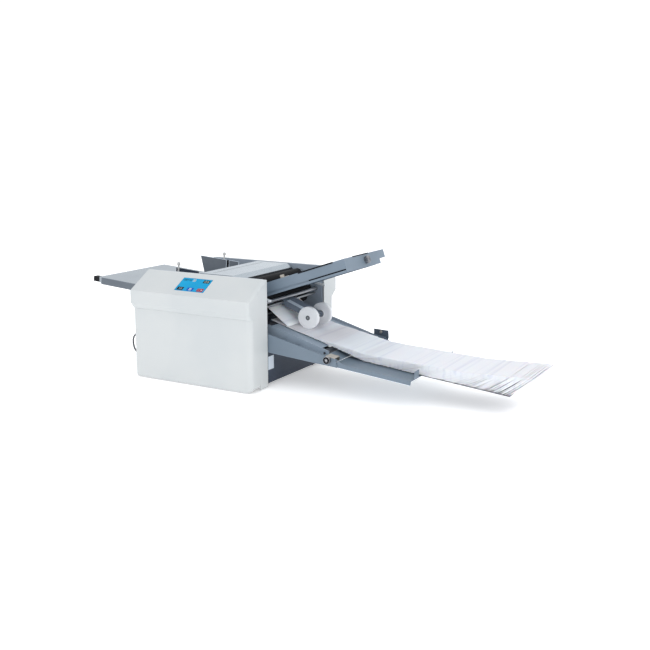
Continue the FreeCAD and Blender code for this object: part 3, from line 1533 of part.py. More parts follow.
def face_left(piece, x, y, z):
    """Turn an upright turned piece so that it points out of the infeed end."""
    piece.Placement = FreeCAD.Placement(VECTOR(), FreeCAD.Rotation(ALONG_Y, -90))
    piece.setExpression("Placement.Base.x", bound(f"({x}) - ({MIDDLE_X})"))
    piece.setExpression("Placement.Base.y", bound(f"({y}) - ({MIDDLE_Y})"))
    piece.setExpression("Placement.Base.z", bound(z))
    return piece


def make_switch():
    """Rocker switch in the infeed end wall: its housing and the rocker on its pivot."""
    housing = block("switch_shell", "switch_depth", "switch_length", "switch_height")
    place(housing, f"-{FRAME_END} - switch_proud", "switch_y - switch_length / 2",
          "switch_z - switch_height / 2")
    well = block("switch_well", "switch_depth - 2 * switch_wall", "switch_length - 2 * switch_wall",
                 "switch_height - 2 * switch_wall")
    place(well, f"-{FRAME_END} - switch_proud", "switch_y - switch_length / 2 + switch_wall",
          "switch_z - switch_height / 2 + switch_wall")
    keep("switch_housing", cut("switch_housing", housing, well))
    half = "(switch_height / 2 - switch_wall - rocker_gap)"
    face = [
        (f"rocker_thick / 2", f"-{half}"),
        (f"rocker_thick / 2", half),
        (f"-rocker_thick / 2", half),
        (f"-rocker_thick / 4", "0"),
        (f"-rocker_thick / 2", f"-{half}"),
    ]
    rocker = profile("switch_rocker", "XZ_Plane", [face], "switch_length - 2 * switch_wall - 2 * rocker_gap")
    keep("switch_rocker", place(rocker, f"-{FRAME_END}", "switch_y", "switch_z", "rocker_tilt"))


def make_strain_relief():
    """Moulded strain relief in the end wall, stepped down towards the cord."""
    steps = [
        ("relief_flange", "relief_flange_radius"),
        ("pan_wall + 2 * seat_gap", "relief_neck_radius"),
        ("relief_length / 3", "relief_flange_radius"),
        ("relief_length / 3", "relief_neck_radius"),
        ("relief_length / 3", "(relief_neck_radius + cord_radius) / 2"),
    ]
    relief = turned("strain_relief", steps, upright=True)
    face_left(relief, f"pan_wall + seat_gap + relief_flange - {FRAME_END}", "cord_exit_y", "cord_exit_z")
    keep("strain_relief", relief)


# The cord lies on points chosen by hand: distance from the end wall, place across, height.
CORD_ROUTE = [
    (-30.3, -120, 118),
    (-98, -120, 118),
    (-172, -110, 98),
    (-190, -78, 14),
    (-178, -2, 3.2),
    (-167, 66, 7),
]
# Each bend takes this share of the shorter run beside it.
BEND_SHARE = 0.45


def cord_points():
    wall = amount_of(f"-{FRAME_END}")
    return [VECTOR(wall + out, across, height) for out, across, height in CORD_ROUTE]


def cord_path(points):
    """Straight runs joined by the largest tangent arcs that the runs allow."""
    edges = []
    start = points[0]
    for before, corner, after in zip(points, points[1:], points[2:]):
        back = (before - corner).normalize()
        ahead = (after - corner).normalize()
        shorter = min((before - corner).Length, (after - corner).Length)
        reach = BEND_SHARE * shorter
        entry = corner + back * reach
        leave = corner + ahead * reach
        bisector = (back + ahead).normalize()
        half_angle = back.getAngle(bisector)
        radius = reach * math.tan(half_angle)
        middle = corner + bisector * (reach / math.cos(half_angle) - radius)
        edges.append(Part.LineSegment(start, entry).toShape())
        edges.append(Part.Arc(entry, middle, leave).toShape())
        start = leave
    edges.append(Part.LineSegment(start, points[-1]).toShape())
    return Part.Wire(edges)


def make_cord():
    """Free lead: its tube, the neat coil of the length put away, and the plug beside it."""
    path = cord_path(cord_points())
    radius = amount_of("cord_radius")
    first = path.Edges[0]
    facing = first.tangentAt(first.FirstParameter)
    ring = Part.Wire(Part.Circle(first.Vertexes[0].Point, facing, radius).toShape())
    tube = document.addObject("Part::Feature", "power_cord")
    tube.Shape = path.makePipeShell([ring], True, False)
    keep("power_cord", place(tube, "0", "0", "0"))
    width = "coil_columns * cord_radius"
    coil = turned("cord_coil", [("coil_height", f"coil_radius + {width}")],
                  bore=f"coil_radius - {width}", upright=True)
    keep("cord_coil", place(coil, f"coil_from_wall - {FRAME_END}", "coil_y", "0"))
    make_plug()


def make_plug():
    """Moulded mains plug lying beside the coil, with two flat blades and an earth pin."""
    x = f"(coil_from_wall + coil_radius - {FRAME_END})"
    start = "(coil_y + plug_lead)"
    axis = "(plug_height / 2)"
    tail = rod("plug_tail", "plug_tail_radius", "plug_tail_length + join_lap", x, start, axis)
    body_y = f"{start} + plug_tail_length"
    grip = block("plug_grip", "plug_width", "plug_length", "plug_height")
    place(grip, f"{x} - plug_width / 2", body_y, "0")
    parts = [tail, grip]
    for side in ("-1", "1"):
        blade = block(f"plug_blade_{len(parts)}", "blade_thick", "blade_length + join_lap", "blade_width")
        blade_x = f"{x} + {side} * blade_spread / 2 - blade_thick / 2"
        parts.append(place(blade, blade_x, f"{body_y} + plug_length - join_lap",
                           f"{axis} - blade_width / 2 + blade_lift"))
    parts.append(rod("plug_earth", "blade_width / 3", "blade_length + join_lap", x,
                     f"{body_y} + plug_length - join_lap", f"{axis} - blade_lift"))
    keep("power_plug", joined("power_plug", *parts))


def make_power():
    make_switch()
    make_strain_relief()
    make_cord()


def check_objects():
    """Stop if a feature has failed or a sub-part's shape is empty or not valid."""
    for item in document.Objects:
        if "Invalid" in item.State or "Error" in item.State:
            raise RuntimeError(f"{item.Label} failed to rebuild: {item.State}")
    for label, piece in pieces.items():
        if piece.Shape.isNull() or not piece.Shape.isValid():
            raise RuntimeError(f"{label} has no valid shape")


def write_parts():
    os.makedirs("parts", exist_ok=True)
    for label, piece in pieces.items():
        piece.Shape.exportStep(f"parts/{label}.step")


make_housing()
make_infeed()
make_fold_plates()
make_delivery()
make_power()
document.recompute()
check_objects()
write_parts()
print(f"{len(pieces)} sub-parts written")
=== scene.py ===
import json
import math
import random

import bpy
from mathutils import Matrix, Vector


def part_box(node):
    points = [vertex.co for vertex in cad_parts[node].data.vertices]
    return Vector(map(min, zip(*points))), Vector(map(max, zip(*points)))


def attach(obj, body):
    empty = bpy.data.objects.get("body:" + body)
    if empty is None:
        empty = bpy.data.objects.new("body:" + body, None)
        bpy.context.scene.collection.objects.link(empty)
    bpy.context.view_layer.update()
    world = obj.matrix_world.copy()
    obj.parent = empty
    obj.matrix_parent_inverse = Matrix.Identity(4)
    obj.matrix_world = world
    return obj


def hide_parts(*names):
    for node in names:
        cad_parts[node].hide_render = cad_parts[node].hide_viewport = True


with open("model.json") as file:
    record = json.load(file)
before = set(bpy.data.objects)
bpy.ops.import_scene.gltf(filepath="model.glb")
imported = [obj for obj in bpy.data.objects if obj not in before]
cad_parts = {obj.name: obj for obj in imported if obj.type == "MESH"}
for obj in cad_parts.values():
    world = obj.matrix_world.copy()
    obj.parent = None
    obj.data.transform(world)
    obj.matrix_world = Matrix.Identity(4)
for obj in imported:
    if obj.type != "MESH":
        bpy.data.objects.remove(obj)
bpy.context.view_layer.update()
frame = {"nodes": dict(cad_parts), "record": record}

# A desk-top paper folding machine: finishes for its CAD nodes, the power cord, the folded letters,
# small trim and the screen's picture.  Lengths and places are millimetres in the CAD part's own
# frame, with X along the paper path, Y to the rear and Z up; body_point turns them into metres.
NODES = frame["nodes"]
MIDDLE_X = 309.3266
MIDDLE_Y = -8
TO_REAR = (0, 1, 0)
TO_OPERATOR = (0, -1, 0)
TO_INFEED = (-1, 0, 0)


def body_point(x, y, z):
    """A point of the CAD part, in its own millimetres, as metres in the row frame."""
    return ((x - MIDDLE_X) / 1000, (y - MIDDLE_Y) / 1000, z / 1000)


class Slope:
    """A plane of the machine that slopes along the paper path, as in the CAD part."""

    def __init__(self, x, z, tilt):
        self.x = x
        self.z = z
        self.cos = math.cos(math.radians(tilt))
        self.sin = math.sin(math.radians(tilt))
        self.along = Vector((self.cos, 0, self.sin))
        self.up = Vector((-self.sin, 0, self.cos))

    def at(self, along, rise):
        """X and Z of a point this far along the slope and above it."""
        return (self.x + along * self.cos - rise * self.sin, self.z + along * self.sin + rise * self.cos)

    def point(self, along, across, rise):
        """The point this far along, across and above the slope."""
        x, z = self.at(along, rise)
        return (x, across, z)


# The machine's slopes and the sizes that several pieces share, as in the CAD part.
FLAT = Slope(0, 0, 0)
TABLE_FEED_END = (7.7, 285.4)
TABLE_TILT = -4.2
TABLE_LENGTH = 500
TABLE_HALF = 186.5
TABLE = Slope(*Slope(*TABLE_FEED_END, TABLE_TILT).at(-TABLE_LENGTH, 0), TABLE_TILT)
PLATE = Slope(236.8, 322.8, 18.9)
PLATE_LENGTH = 298.3
PLATE_HALF = 143
PLATE_RAIL = 32.5
BED = Slope(207, 212, -15.5)
BED_LENGTH = 262
BED_HALF = 148
TRAY_TILT = -5.6
TRAY = Slope(500, 116, TRAY_TILT)
TRAY_LENGTH = 270
TRAY_HALF = 183.7
TRAY_LIP = 14
SHEET = Slope(*TRAY.at(TRAY_LENGTH, 0.3), TRAY_TILT)
SHEET_LENGTH = 292
FRAME_TOP = 368
DELIVERY_WALL = 242
COVER_END = 99
COVER_HALF = 176
STACKER_PIVOT = (212, 266)
CLAMP_X = 477
CLAMP_Z = 124
KNOB_RADIUS = 12
KNOB_LENGTH = 12
CORD_EXIT_Y = -120
CORD_EXIT_Z = 118
PLUG_X = -340
PLUG_AXIS = 10

# ---------------------------------------------------------------- camera
CAMERA_PLACE = (1901.61, -2724.6, 846.98)
YAW = math.radians(29.5)
PITCH = math.radians(11.8)
LENS = 51.34
SENSOR_WIDTH = 36


def make_camera():
    """The photo's camera, which looks to the rear, turned left by YAW and down by PITCH."""
    data = bpy.data.cameras.new("camera")
    data.lens = LENS
    data.sensor_width = SENSOR_WIDTH
    camera = bpy.data.objects.new("camera", data)
    camera.location = body_point(*CAMERA_PLACE)
    looking = Vector((
        -math.sin(YAW) * math.cos(PITCH),
        math.cos(YAW) * math.cos(PITCH),
        -math.sin(PITCH),
    ))
    camera.rotation_euler = looking.to_track_quat("-Z", "Y").to_euler()
    bpy.context.scene.collection.objects.link(camera)
    bpy.context.scene.camera = camera


make_camera()
bpy.context.scene.view_settings.view_transform = "Standard"

# ---------------------------------------------------------------- materials
DISPLAY_GAMMA = 2.2
BROAD_DETAIL = 3
FINE_DETAIL = 4
GRAIN_DEPTH = 0.0004
# Paper: the painted light and shade streaks' scale, how they are drawn out across the machine, and the
# noise they span; the streaks stand in for the lit edges and faint shadows of the stacked letters.
EDGE_SHADE_SCALE = 70
EDGE_SHADE_STRETCH = (1, 0.02, 0.4)
EDGE_SHADE_SPAN = (0.5, 0.68)
FIBRE_SCALE = 1800
FIBRE_BUMP = 0.08
FIBRE_DEPTH = 0.0003


def tone(red, green, blue):
    """A display colour of 0 to 255 as linear light."""
    return tuple((value / 255) ** DISPLAY_GAMMA for value in (red, green, blue))


def new_material(name):
    """A material with its node tree, its shader and the object's own coordinates."""
    material = bpy.data.materials.new(name)
    material.use_nodes = True
    tree = material.node_tree
    shader = tree.nodes["Principled BSDF"]
    place = tree.nodes.new("ShaderNodeTexCoord")
    return material, tree, shader, place.outputs["Object"]


def noise(tree, place, scale, detail, stretch=(1, 1, 1)):
    """Noise over the object's own metres, stretched along an axis for brushing or streaks."""
    mapping = tree.nodes.new("ShaderNodeMapping")
    mapping.inputs["Scale"].default_value = stretch
    tree.links.new(place, mapping.inputs["Vector"])
    texture = tree.nodes.new("ShaderNodeTexNoise")
    texture.inputs["Scale"].default_value = scale
    texture.inputs["Detail"].default_value = detail
    tree.links.new(mapping.outputs["Vector"], texture.inputs["Vector"])
    return texture.outputs["Fac"]


def spread(tree, value, low, high, start=0.35, end=0.65):
    """Map noise from start to end onto numbers from low to high."""
    ramp = tree.nodes.new("ShaderNodeMapRange")
    ramp.inputs["From Min"].default_value = start
    ramp.inputs["From Max"].default_value = end
    ramp.inputs["To Min"].default_value = low
    ramp.inputs["To Max"].default_value = high
    tree.links.new(value, ramp.inputs["Value"])
    return ramp.outputs["Result"]


def blended(tree, factor, first, second):
    """Mix two colours by a factor."""
    mix = tree.nodes.new("ShaderNodeMix")
    mix.data_type = "RGBA"
    tree.links.new(factor, mix.inputs["Factor"])
    for name, colour in (("A", first), ("B", second)):
        socket = next(slot for slot in mix.inputs if slot.name == name and slot.type == "RGBA")
        socket.default_value = (*colour, 1)
    return next(slot for slot in mix.outputs if slot.type == "RGBA")


def bumped(tree, shader, height, strength, distance):
    """Drive the shader's normal from a height."""
    bump = tree.nodes.new("ShaderNodeBump")
    bump.inputs["Strength"].default_value = strength
    bump.inputs["Distance"].default_value = distance
    tree.links.new(height, bump.inputs["Height"])
    tree.links.new(bump.outputs["Normal"], shader.inputs["Normal"])


def finish_of(name, colour, worn, rough, metallic=0.0, grain=900, bump=0.05, stretch=(1, 1, 1),
              gloss=0.5, cloud=6):
    """A surface with broad drift between two tones and a fine grain in roughness and bump."""
    material, tree, shader, place = new_material(name)
    broad = spread(tree, noise(tree, place, cloud, BROAD_DETAIL), 0, 1)
    fine = noise(tree, place, grain, FINE_DETAIL, stretch)
    tree.links.new(blended(tree, broad, tone(*colour), tone(*worn)), shader.inputs["Base Color"])
    tree.links.new(spread(tree, fine, *rough), shader.inputs["Roughness"])
    shader.inputs["Metallic"].default_value = metallic
    shader.inputs["Specular IOR Level"].default_value = gloss
    bumped(tree, shader, fine, bump, GRAIN_DEPTH)
    return material


def paper_finish():
    """White paper with painted light and shade: faint streaks across the machine stand in for the lit
    edges and shadows of the stacked letters.
    """
    material, tree, shader, place = new_material("letter_paper")
    edge_shade = noise(tree, place, EDGE_SHADE_SCALE, BROAD_DETAIL, EDGE_SHADE_STRETCH)
    fibre = noise(tree, place, FIBRE_SCALE, FINE_DETAIL)
    share = spread(tree, edge_shade, 0, 1, *EDGE_SHADE_SPAN)
    # The lighter tone is painted light on the stacked edges, and the darker one is painted shade between
    # them.
    shade = blended(tree, share, tone(237, 233, 235), tone(226, 222, 228))
    tree.links.new(shade, shader.inputs["Base Color"])
    tree.links.new(spread(tree, fibre, 0.7, 0.85), shader.inputs["Roughness"])
    shader.inputs["Subsurface Weight"].default_value = 0.2
    shader.inputs["Subsurface Scale"].default_value = 0.02
    bumped(tree, shader, fibre, FIBRE_BUMP, FIBRE_DEPTH)
    return material


# Each finish: its tone, its second tone, its range of roughness, and what differs from plain paint.
FINISHES = {
    # material slots of the record
    "cover_plastic": ((198, 201, 201), (193, 197, 198), (0.42, 0.52), {"bump": 0.08, "grain": 1400}),
    "frame_paint": ((158, 168, 180), (148, 159, 172), (0.42, 0.55), {"bump": 0.06}),
    "dark_paint": ((50, 60, 76), (44, 54, 68), (0.4, 0.55), {"bump": 0.06, "gloss": 0.3}),
    "rail_paint": ((114, 128, 142), (107, 121, 134), (0.38, 0.5), {}),
    "table_paint": ((154, 162, 168), (147, 155, 162), (0.35, 0.48), {}),
    "silver_metal": ((176, 184, 190), (167, 176, 183), (0.26, 0.4),
                     {"metallic": 0.75, "stretch": (1, 0.03, 1), "grain": 1600}),
    "bright_steel": ((212, 213, 214), (200, 201, 203), (0.16, 0.3),
                     {"metallic": 1.0, "stretch": (1, 0.05, 1), "grain": 1500, "bump": 0.04}),
    "zinc_plate": ((196, 190, 180), (176, 168, 156), (0.28, 0.42), {"metallic": 0.85, "cloud": 40}),
    "knob_chrome": ((188, 186, 186), (166, 164, 166), (0.14, 0.26), {"metallic": 1.0, "bump": 0.03}),
    "black_rubber": ((24, 25, 28), (33, 34, 37), (0.6, 0.8), {"bump": 0.15, "gloss": 0.2}),
    "roller_rubber": ((17, 18, 21), (24, 25, 28), (0.6, 0.78), {"bump": 0.12, "gloss": 0.2}),
    "wheel_plastic": ((232, 234, 237), (222, 225, 229), (0.36, 0.48), {}),
    "dark_plastic": ((46, 50, 56), (54, 58, 64), (0.42, 0.58), {"bump": 0.08}),
    "screen_glass": ((10, 158, 206), (6, 148, 198), (0.16, 0.24), {"bump": 0.01, "gloss": 0.08}),
    "board": ((36, 96, 62), (28, 82, 52), (0.35, 0.5), {}),
    "cord_rubber": ((70, 72, 76), (60, 62, 66), (0.45, 0.6), {"bump": 0.06}),
    # nodes that differ from the others in their slot
    "arm_paint": ((108, 118, 132), (98, 109, 123), (0.36, 0.5), {}),
    # Painted shade: a darker copy of the rail paint for the far guide.
    "guide_paint_shaded": ((100, 107, 115), (92, 99, 108), (0.38, 0.5), {}),
    # Painted light: a lighter copy of the rail paint for the belt bed, whose near side lies in shade under
    # the letters.
    "bed_paint_lit": ((144, 158, 172), (136, 150, 165), (0.38, 0.5), {}),
    "bracket_paint": ((84, 94, 104), (76, 86, 97), (0.4, 0.52), {}),
    "rod_steel": ((150, 153, 157), (136, 139, 144), (0.28, 0.42), {"metallic": 0.8, "bump": 0.04}),
    "bar_zinc": ((212, 216, 219), (200, 205, 209), (0.3, 0.42), {"metallic": 0.25, "bump": 0.04}),
    "screw_zinc": ((222, 221, 218), (206, 205, 203), (0.3, 0.42), {"metallic": 0.35}),
    # pieces of this script
    # Dark trim, and painted shade in the wheel bores, the bracket's hole, the plate's slot and on the feed
    # cover's lip.
    "dark_trim_and_shade": ((22, 25, 30), (29, 32, 38), (0.55, 0.75), {"bump": 0.08, "gloss": 0.15}),
    # Pale plate and strips, and the painted highlight on the stacker arm's top.
    "pale_trim_and_highlight": ((206, 216, 226), (196, 207, 219), (0.35, 0.5), {"bump": 0.03}),
    # Grey for hubs, rings and caps, and painted shade in the feed cover's groove.
    "grey_trim_and_shade": ((122, 126, 132), (110, 114, 120), (0.35, 0.5), {"metallic": 0.5}),
    # Painted shade for the infeed table's side flanges.
    "side_shade_paint": ((98, 106, 114), (90, 98, 107), (0.4, 0.52), {}),
    # Painted light: a lighter paint for the bed's far lip, whose face lies in shade.
    "lip_paint_lit": ((168, 177, 187), (158, 168, 178), (0.4, 0.52), {}),
    "floor_paint": ((250, 250, 250), (247, 247, 248), (0.6, 0.7), {}),
}
LOOKS = {
    name: finish_of(name, colour, worn, rough, **more)
    for name, (colour, worn, rough, more) in FINISHES.items()
}
LOOKS["letter_paper"] = paper_finish()
NODE_LOOKS = {
    "stacker_arm": "arm_paint",
    "far_guide": "guide_paint_shaded",
    "conveyor_bed": "bed_paint_lit",
    "far_clamp_bracket": "bracket_paint",
    "cross_rods": "rod_steel",
    "conveyor_idle_roller": "dark_plastic",
    "conveyor_drive_roller": "dark_plastic",
    "plate_support_bars": "bar_zinc",
    "near_guide_screw": "screw_zinc",
    "far_guide_screw": "screw_zinc",
}
for entry in frame["record"]["subparts"]:
    look = NODE_LOOKS.get(entry["node"], entry["material_slot"])
    data = NODES[entry["node"]].data
    data.materials.clear()
    data.materials.append(LOOKS[look])

# ---------------------------------------------------------------- cord
CORD_RADIUS = 3
CORD_WALL = -242
# The cord lies on listed points: distance from the end wall, place across, height.
CORD_ROUTE = [
    (-30.3, -120, 118),
    (-98, -120, 118),
    (-172, -110, 98),
    (-190, -78, 14),
    (-178, -2, 3.2),
    (-167, 66, 7),
]
PLUG_ENTRY = [(PLUG_X, 84, 9.5), (PLUG_X, 90, PLUG_AXIS), (PLUG_X, 96, PLUG_AXIS)]
COIL_CENTRE = (-373, 70)
COIL_RADIUS = 39
COIL_STEP = 6.25
COIL_REST = 3.4
COIL_TURNS = 6
COLUMN_TURNS = 2.7
SHIFT_TURNS = 0.2
POINTS_A_TURN = 20
FIRST_COIL_POINT = 2
LAST_BEND = 15
LAST_RISE = 1.3
POINTS_A_BEND = 12


def coil_point(turn):
    """A cord point this many turns into the coil: up the outer column, down the next, up the last."""
    column = min(int(turn / COLUMN_TURNS), 2)
    within = turn - column * COLUMN_TURNS
    inward = column + min(0, within / SHIFT_TURNS - 1) if column else 0
    rise = within if column != 1 else COLUMN_TURNS - within
    radius = COIL_RADIUS - COIL_STEP * inward
    angle = math.pi - 2 * math.pi * turn
    return (
        COIL_CENTRE[0] + radius * math.cos(angle),
        COIL_CENTRE[1] + radius * math.sin(angle),
        COIL_REST + COIL_STEP * rise,
    )


def bend_point(share):
    """A cord point this far, 0 to 2, along the two half circles between the last turn and the plug."""
    start_x, start_y, start_z = coil_point(COIL_TURNS)
    centre_x = start_x + LAST_BEND * (1 if share <= 1 else 3)
    angle = math.pi * (1 - share if share <= 1 else share)
    return (
        centre_x + LAST_BEND * math.cos(angle),
        start_y + LAST_BEND * math.sin(angle),
        start_z + LAST_RISE * share,
    )


def cord_points():
    """The whole route: the free run, the coil in place of its last point, and the way to the plug."""
    free_run = [(CORD_WALL + out, across, height) for out, across, height in CORD_ROUTE[:-1]]
    coil_steps = range(FIRST_COIL_POINT, COIL_TURNS * POINTS_A_TURN)
    coil = [coil_point(step / POINTS_A_TURN) for step in coil_steps]
    bend = [bend_point(step / POINTS_A_BEND) for step in range(2 * POINTS_A_BEND + 1)]
    return free_run + coil + bend + PLUG_ENTRY


def make_cord():
    """The power cord as one curve with a round section."""
    data = bpy.data.curves.new("flex", "CURVE")
    data.dimensions = "3D"
    data.bevel_depth = 1
    data.bevel_resolution = 5
    data.use_fill_caps = True
    spline = data.splines.new("NURBS")
    route = cord_points()
    spline.points.add(len(route) - 1)
    for point, at in zip(spline.points, route):
        point.co = (*body_point(*at), 1)
        point.radius = CORD_RADIUS / 1000
    spline.order_u = 3
    spline.use_endpoint_u = True
    spline.resolution_u = 4
    data.materials.append(LOOKS["cord_rubber"])
    flex = bpy.data.objects.new("flex", data)
    bpy.context.scene.collection.objects.link(flex)
    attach(flex, "housing")
    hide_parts("power_cord", "cord_coil")
    return flex


# ---------------------------------------------------------------- ways to make a piece
SLAB_FACES = [(0, 1, 3, 2), (4, 6, 7, 5), (0, 4, 5, 1), (2, 3, 7, 6), (0, 2, 6, 4), (1, 5, 7, 3)]
EDGE_SEGMENTS = 2
NEARLY_UPRIGHT = 0.9
TURNED_EDGE = 0.2
TURNED_SIDES = 48
RIDGE_SHARE = 0.62
RIDGE_INSET = 0.6
RIDGE_ROOT = 0.2


def add_mesh(name, points, faces, look, body, smooth=False):
    """A mesh of body points that rides on a CAD body."""
    data = bpy.data.meshes.new(name)
    data.from_pydata([body_point(*point) for point in points], [], faces)
    data.validate()
    data.materials.append(LOOKS[look])
    if smooth:
        data.shade_smooth()
    piece = bpy.data.objects.new(name, data)
    bpy.context.scene.collection.objects.link(piece)
    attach(piece, body)
    return piece


def soften(piece, width):
    """Break a piece's sharp edges with a small bevel."""
    edge = piece.modifiers.new("edge", "BEVEL")
    edge.width = width / 1000
    edge.segments = EDGE_SEGMENTS


def centre_of(node):
    """The middle of a CAD node's box."""
    low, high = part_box(node)
    middle = (low + high) / 2 * 1000
    return Vector((middle.x + MIDDLE_X, middle.y + MIDDLE_Y, middle.z))


def end_face(node, axis, radius):
    """The middle of a knob's upper end face, from its box, where its axis leans along the machine."""
    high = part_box(node)[1]
    return (
        high.x * 1000 + MIDDLE_X - radius * abs(axis.z),
        centre_of(node).y,
        high.z * 1000 - radius * abs(axis.x),
    )


def slab(slope, along, across, rise):
    """Eight corners of a block on a slope, from (start, end) pairs."""
    return [slope.point(a, y, r) for a in along for y in across for r in rise]


def around(middle, reach):
    """The (start, end) pair that reaches this far to both sides of a middle."""
    return (middle - reach, middle + reach)


def add_slabs(name, slabs, look, body, bevel=0.25):
    """Several eight-cornered blocks as one softly edged piece."""
    points = [point for corners in slabs for point in corners]
    faces = [tuple(8 * row + at for at in face) for row in range(len(slabs)) for face in SLAB_FACES]
    soften(add_mesh(name, points, faces, look, body), bevel)


def square_to(axis):
    """Two directions square to an axis and to each other."""
    side = Vector((0, 0, 1)) if abs(axis.z) < NEARLY_UPRIGHT else Vector((1, 0, 0))
    first = axis.cross(side).normalized()
    return first, axis.cross(first).normalized()


def add_turned(name, start, axis, rings, look, body):
    """Turned rings along an axis; each is a list of (along, radius) that closes on itself."""
    axis = Vector(axis).normalized()
    first, second = square_to(axis)
    points = []
    faces = []
    for ring in rings:
        base = len(points)
        count = len(ring)
        for turn in range(TURNED_SIDES):
            angle = 2 * math.pi * turn / TURNED_SIDES
            out = first * math.cos(angle) + second * math.sin(angle)
            points += [tuple(Vector(start) + axis * along + out * radius) for along, radius in ring]
            here = base + turn * count
            following = base + (turn + 1) % TURNED_SIDES * count
            for row in range(count):
                ahead = (row + 1) % count
                faces.append((here + row, here + ahead, following + ahead, following + row))
    soften(add_mesh(name, points, faces, look, body, smooth=True), TURNED_EDGE)


def add_ridges(name, start, axis, radius, length, count, look, body, proud=0.55):
    """Fine straight knurling round the rim of a knob."""
    axis = Vector(axis).normalized()
    first, second = square_to(axis)
    half = math.pi / count * RIDGE_SHARE
    points = []
    faces = []
    for turn in range(count):
        middle = 2 * math.pi * turn / count
        base = len(points)
        corners = (
            (middle - half, radius - RIDGE_ROOT),
            (middle, radius + proud),
            (middle + half, radius - RIDGE_ROOT),
        )
        for along in (RIDGE_INSET, length - RIDGE_INSET):
            for angle, out in corners:
                ray = first * math.cos(angle) + second * math.sin(angle)
                points.append(tuple(Vector(start) + axis * along + ray * out))
        faces += [(base, base + 1, base + 4, base + 3), (base + 1, base + 2, base + 5, base + 4),
                  (base, base + 2, base + 1), (base + 3, base + 4, base + 5)]
    add_mesh(name, points, faces, look, body)


# ---------------------------------------------------------------- letters
LETTER_LENGTH = 94
LETTER_HALF = 104.5
LETTER_STEPS = 6
# A letter's thickness, what is left of it at a fold, and what its upper fold opens by once it has
# come as far as FAN_REACH.
LETTER_THICK = 1.5
FOLD_SHARE = 0.55
FAN_THICK = 1.9
FAN_REACH = 560
# The last letters lie looser, so they come out longer.
LAST_LETTERS_OPEN = 10
LAST_REACH = 90
# From SETTLE_REACH on, letters bow fully.
SETTLE_REACH = 400
# Chance: the step to the next letter, then shift, turn in radians and bow of each letter.
LETTER_SEED = 7
LETTER_PITCH = (2.6, 6.0)
LETTER_DRIFT = 2.5
LETTER_SKEW = 0.012
LETTER_BOW = (-2.4, -0.5)
EXTRA_DRAW_SHARE = 0.16
EXTRA_DRAW_END = 800
WHEELS_START = 270
WHEELS_END = 372
# The feet of the letters follow the lower line, and their upper folds the upper one.
LETTER_LOWER = [
    BED.at(0, 2.6),
    BED.at(BED_LENGTH, 2.6),
    TRAY.at(62, 2.5),
    SHEET.at(0, 1.6),
    SHEET.at(SHEET_LENGTH, 1.6),
]
LETTER_UPPER = [
    BED.at(0, 3.4),
    BED.at(146.5, 3.4),
    BED.at(248, 13.5),
    TRAY.at(62, 25.5),
    TRAY.at(TRAY_LENGTH, 35.5),
    SHEET.at(146, 42),
    SHEET.at(SHEET_LENGTH, 63),
    (1138, 127.5),
]
LEAVING_LINE = [(182, 262.5), (198, 253), (214, 242), (230, 230), (246, 218.5), (262, 207), (276, 198)]
LEAVING_THICK = 1.3
LEAVING_SHIFT = -1


def along_line(line, distance):
    """The point this far along a line of points, or its end."""
    for (x0, z0), (x1, z1) in zip(line, line[1:]):
        run = math.hypot(x1 - x0, z1 - z0)
        if distance <= run:
            share = distance / run
            return (x0 + (x1 - x0) * share, z0 + (z1 - z0) * share)
        distance -= run
    return line[-1]


def line_length(line):
    """How long a line of points is."""
    return sum(math.dist(start, end) for start, end in zip(line, line[1:]))


def upper_end(low, foot, length):
    """Where a letter of this length, with its foot at low, meets the upper line."""
    longest = line_length(LETTER_UPPER)
    reach = foot
    high = along_line(LETTER_UPPER, reach)
    while math.dist(high, low) < length and reach < longest:
        reach += 1
        high = along_line(LETTER_UPPER, reach)
    return high


def strip_faces(first, steps):
    """Faces of a thin strip whose sections of four points follow each other from first."""
    faces = []
    for step in range(steps):
        a = first + 4 * step
        b = a + 4
        faces += [(a, a + 1, b + 1, b), (a + 2, b + 2, b + 3, a + 3),
                  (a, b, b + 2, a + 2), (a + 1, a + 3, b + 3, b + 1)]
    last = first + 4 * steps
    faces.append((first, first + 2, first + 3, first + 1))
    faces.append((last, last + 1, last + 3, last + 2))
    return faces


def letter_points(low, high, drift, skew, bow, fan):
    """Sections of four points from a letter's foot to its upper fold, bowed and fanned open."""
    run = math.dist(low, high)
    ahead_x = (high[0] - low[0]) / run
    ahead_z = (high[1] - low[1]) / run
    points = []
    for step in range(LETTER_STEPS + 1):
        share = step / LETTER_STEPS
        bend = bow * 4 * share * (1 - share)
        fold = FOLD_SHARE if step in (0, LETTER_STEPS) else 1
        thick = LETTER_THICK * fold + FAN_THICK * share * fan
        for rise in (0, thick):
            lift = bend + rise + (LETTER_THICK - thick) / 2
            x = low[0] + ahead_x * run * share - ahead_z * lift
            z = low[1] + ahead_z * run * share + ahead_x * lift
            for side in (-LETTER_HALF, LETTER_HALF):
                turned = skew * side
                across = drift + side + skew * run * share
                points.append((x - turned * ahead_x, across, z - turned * ahead_z))
    return points


def pass_over(chance, high_x):
    """Draws that move nothing by themselves, but keep every later draw, and so the pile, as it is."""
    chance.random()
    under_wheels = WHEELS_START < high_x < WHEELS_END
    if chance.random() < EXTRA_DRAW_SHARE and not under_wheels and high_x < EXTRA_DRAW_END:
        chance.random()


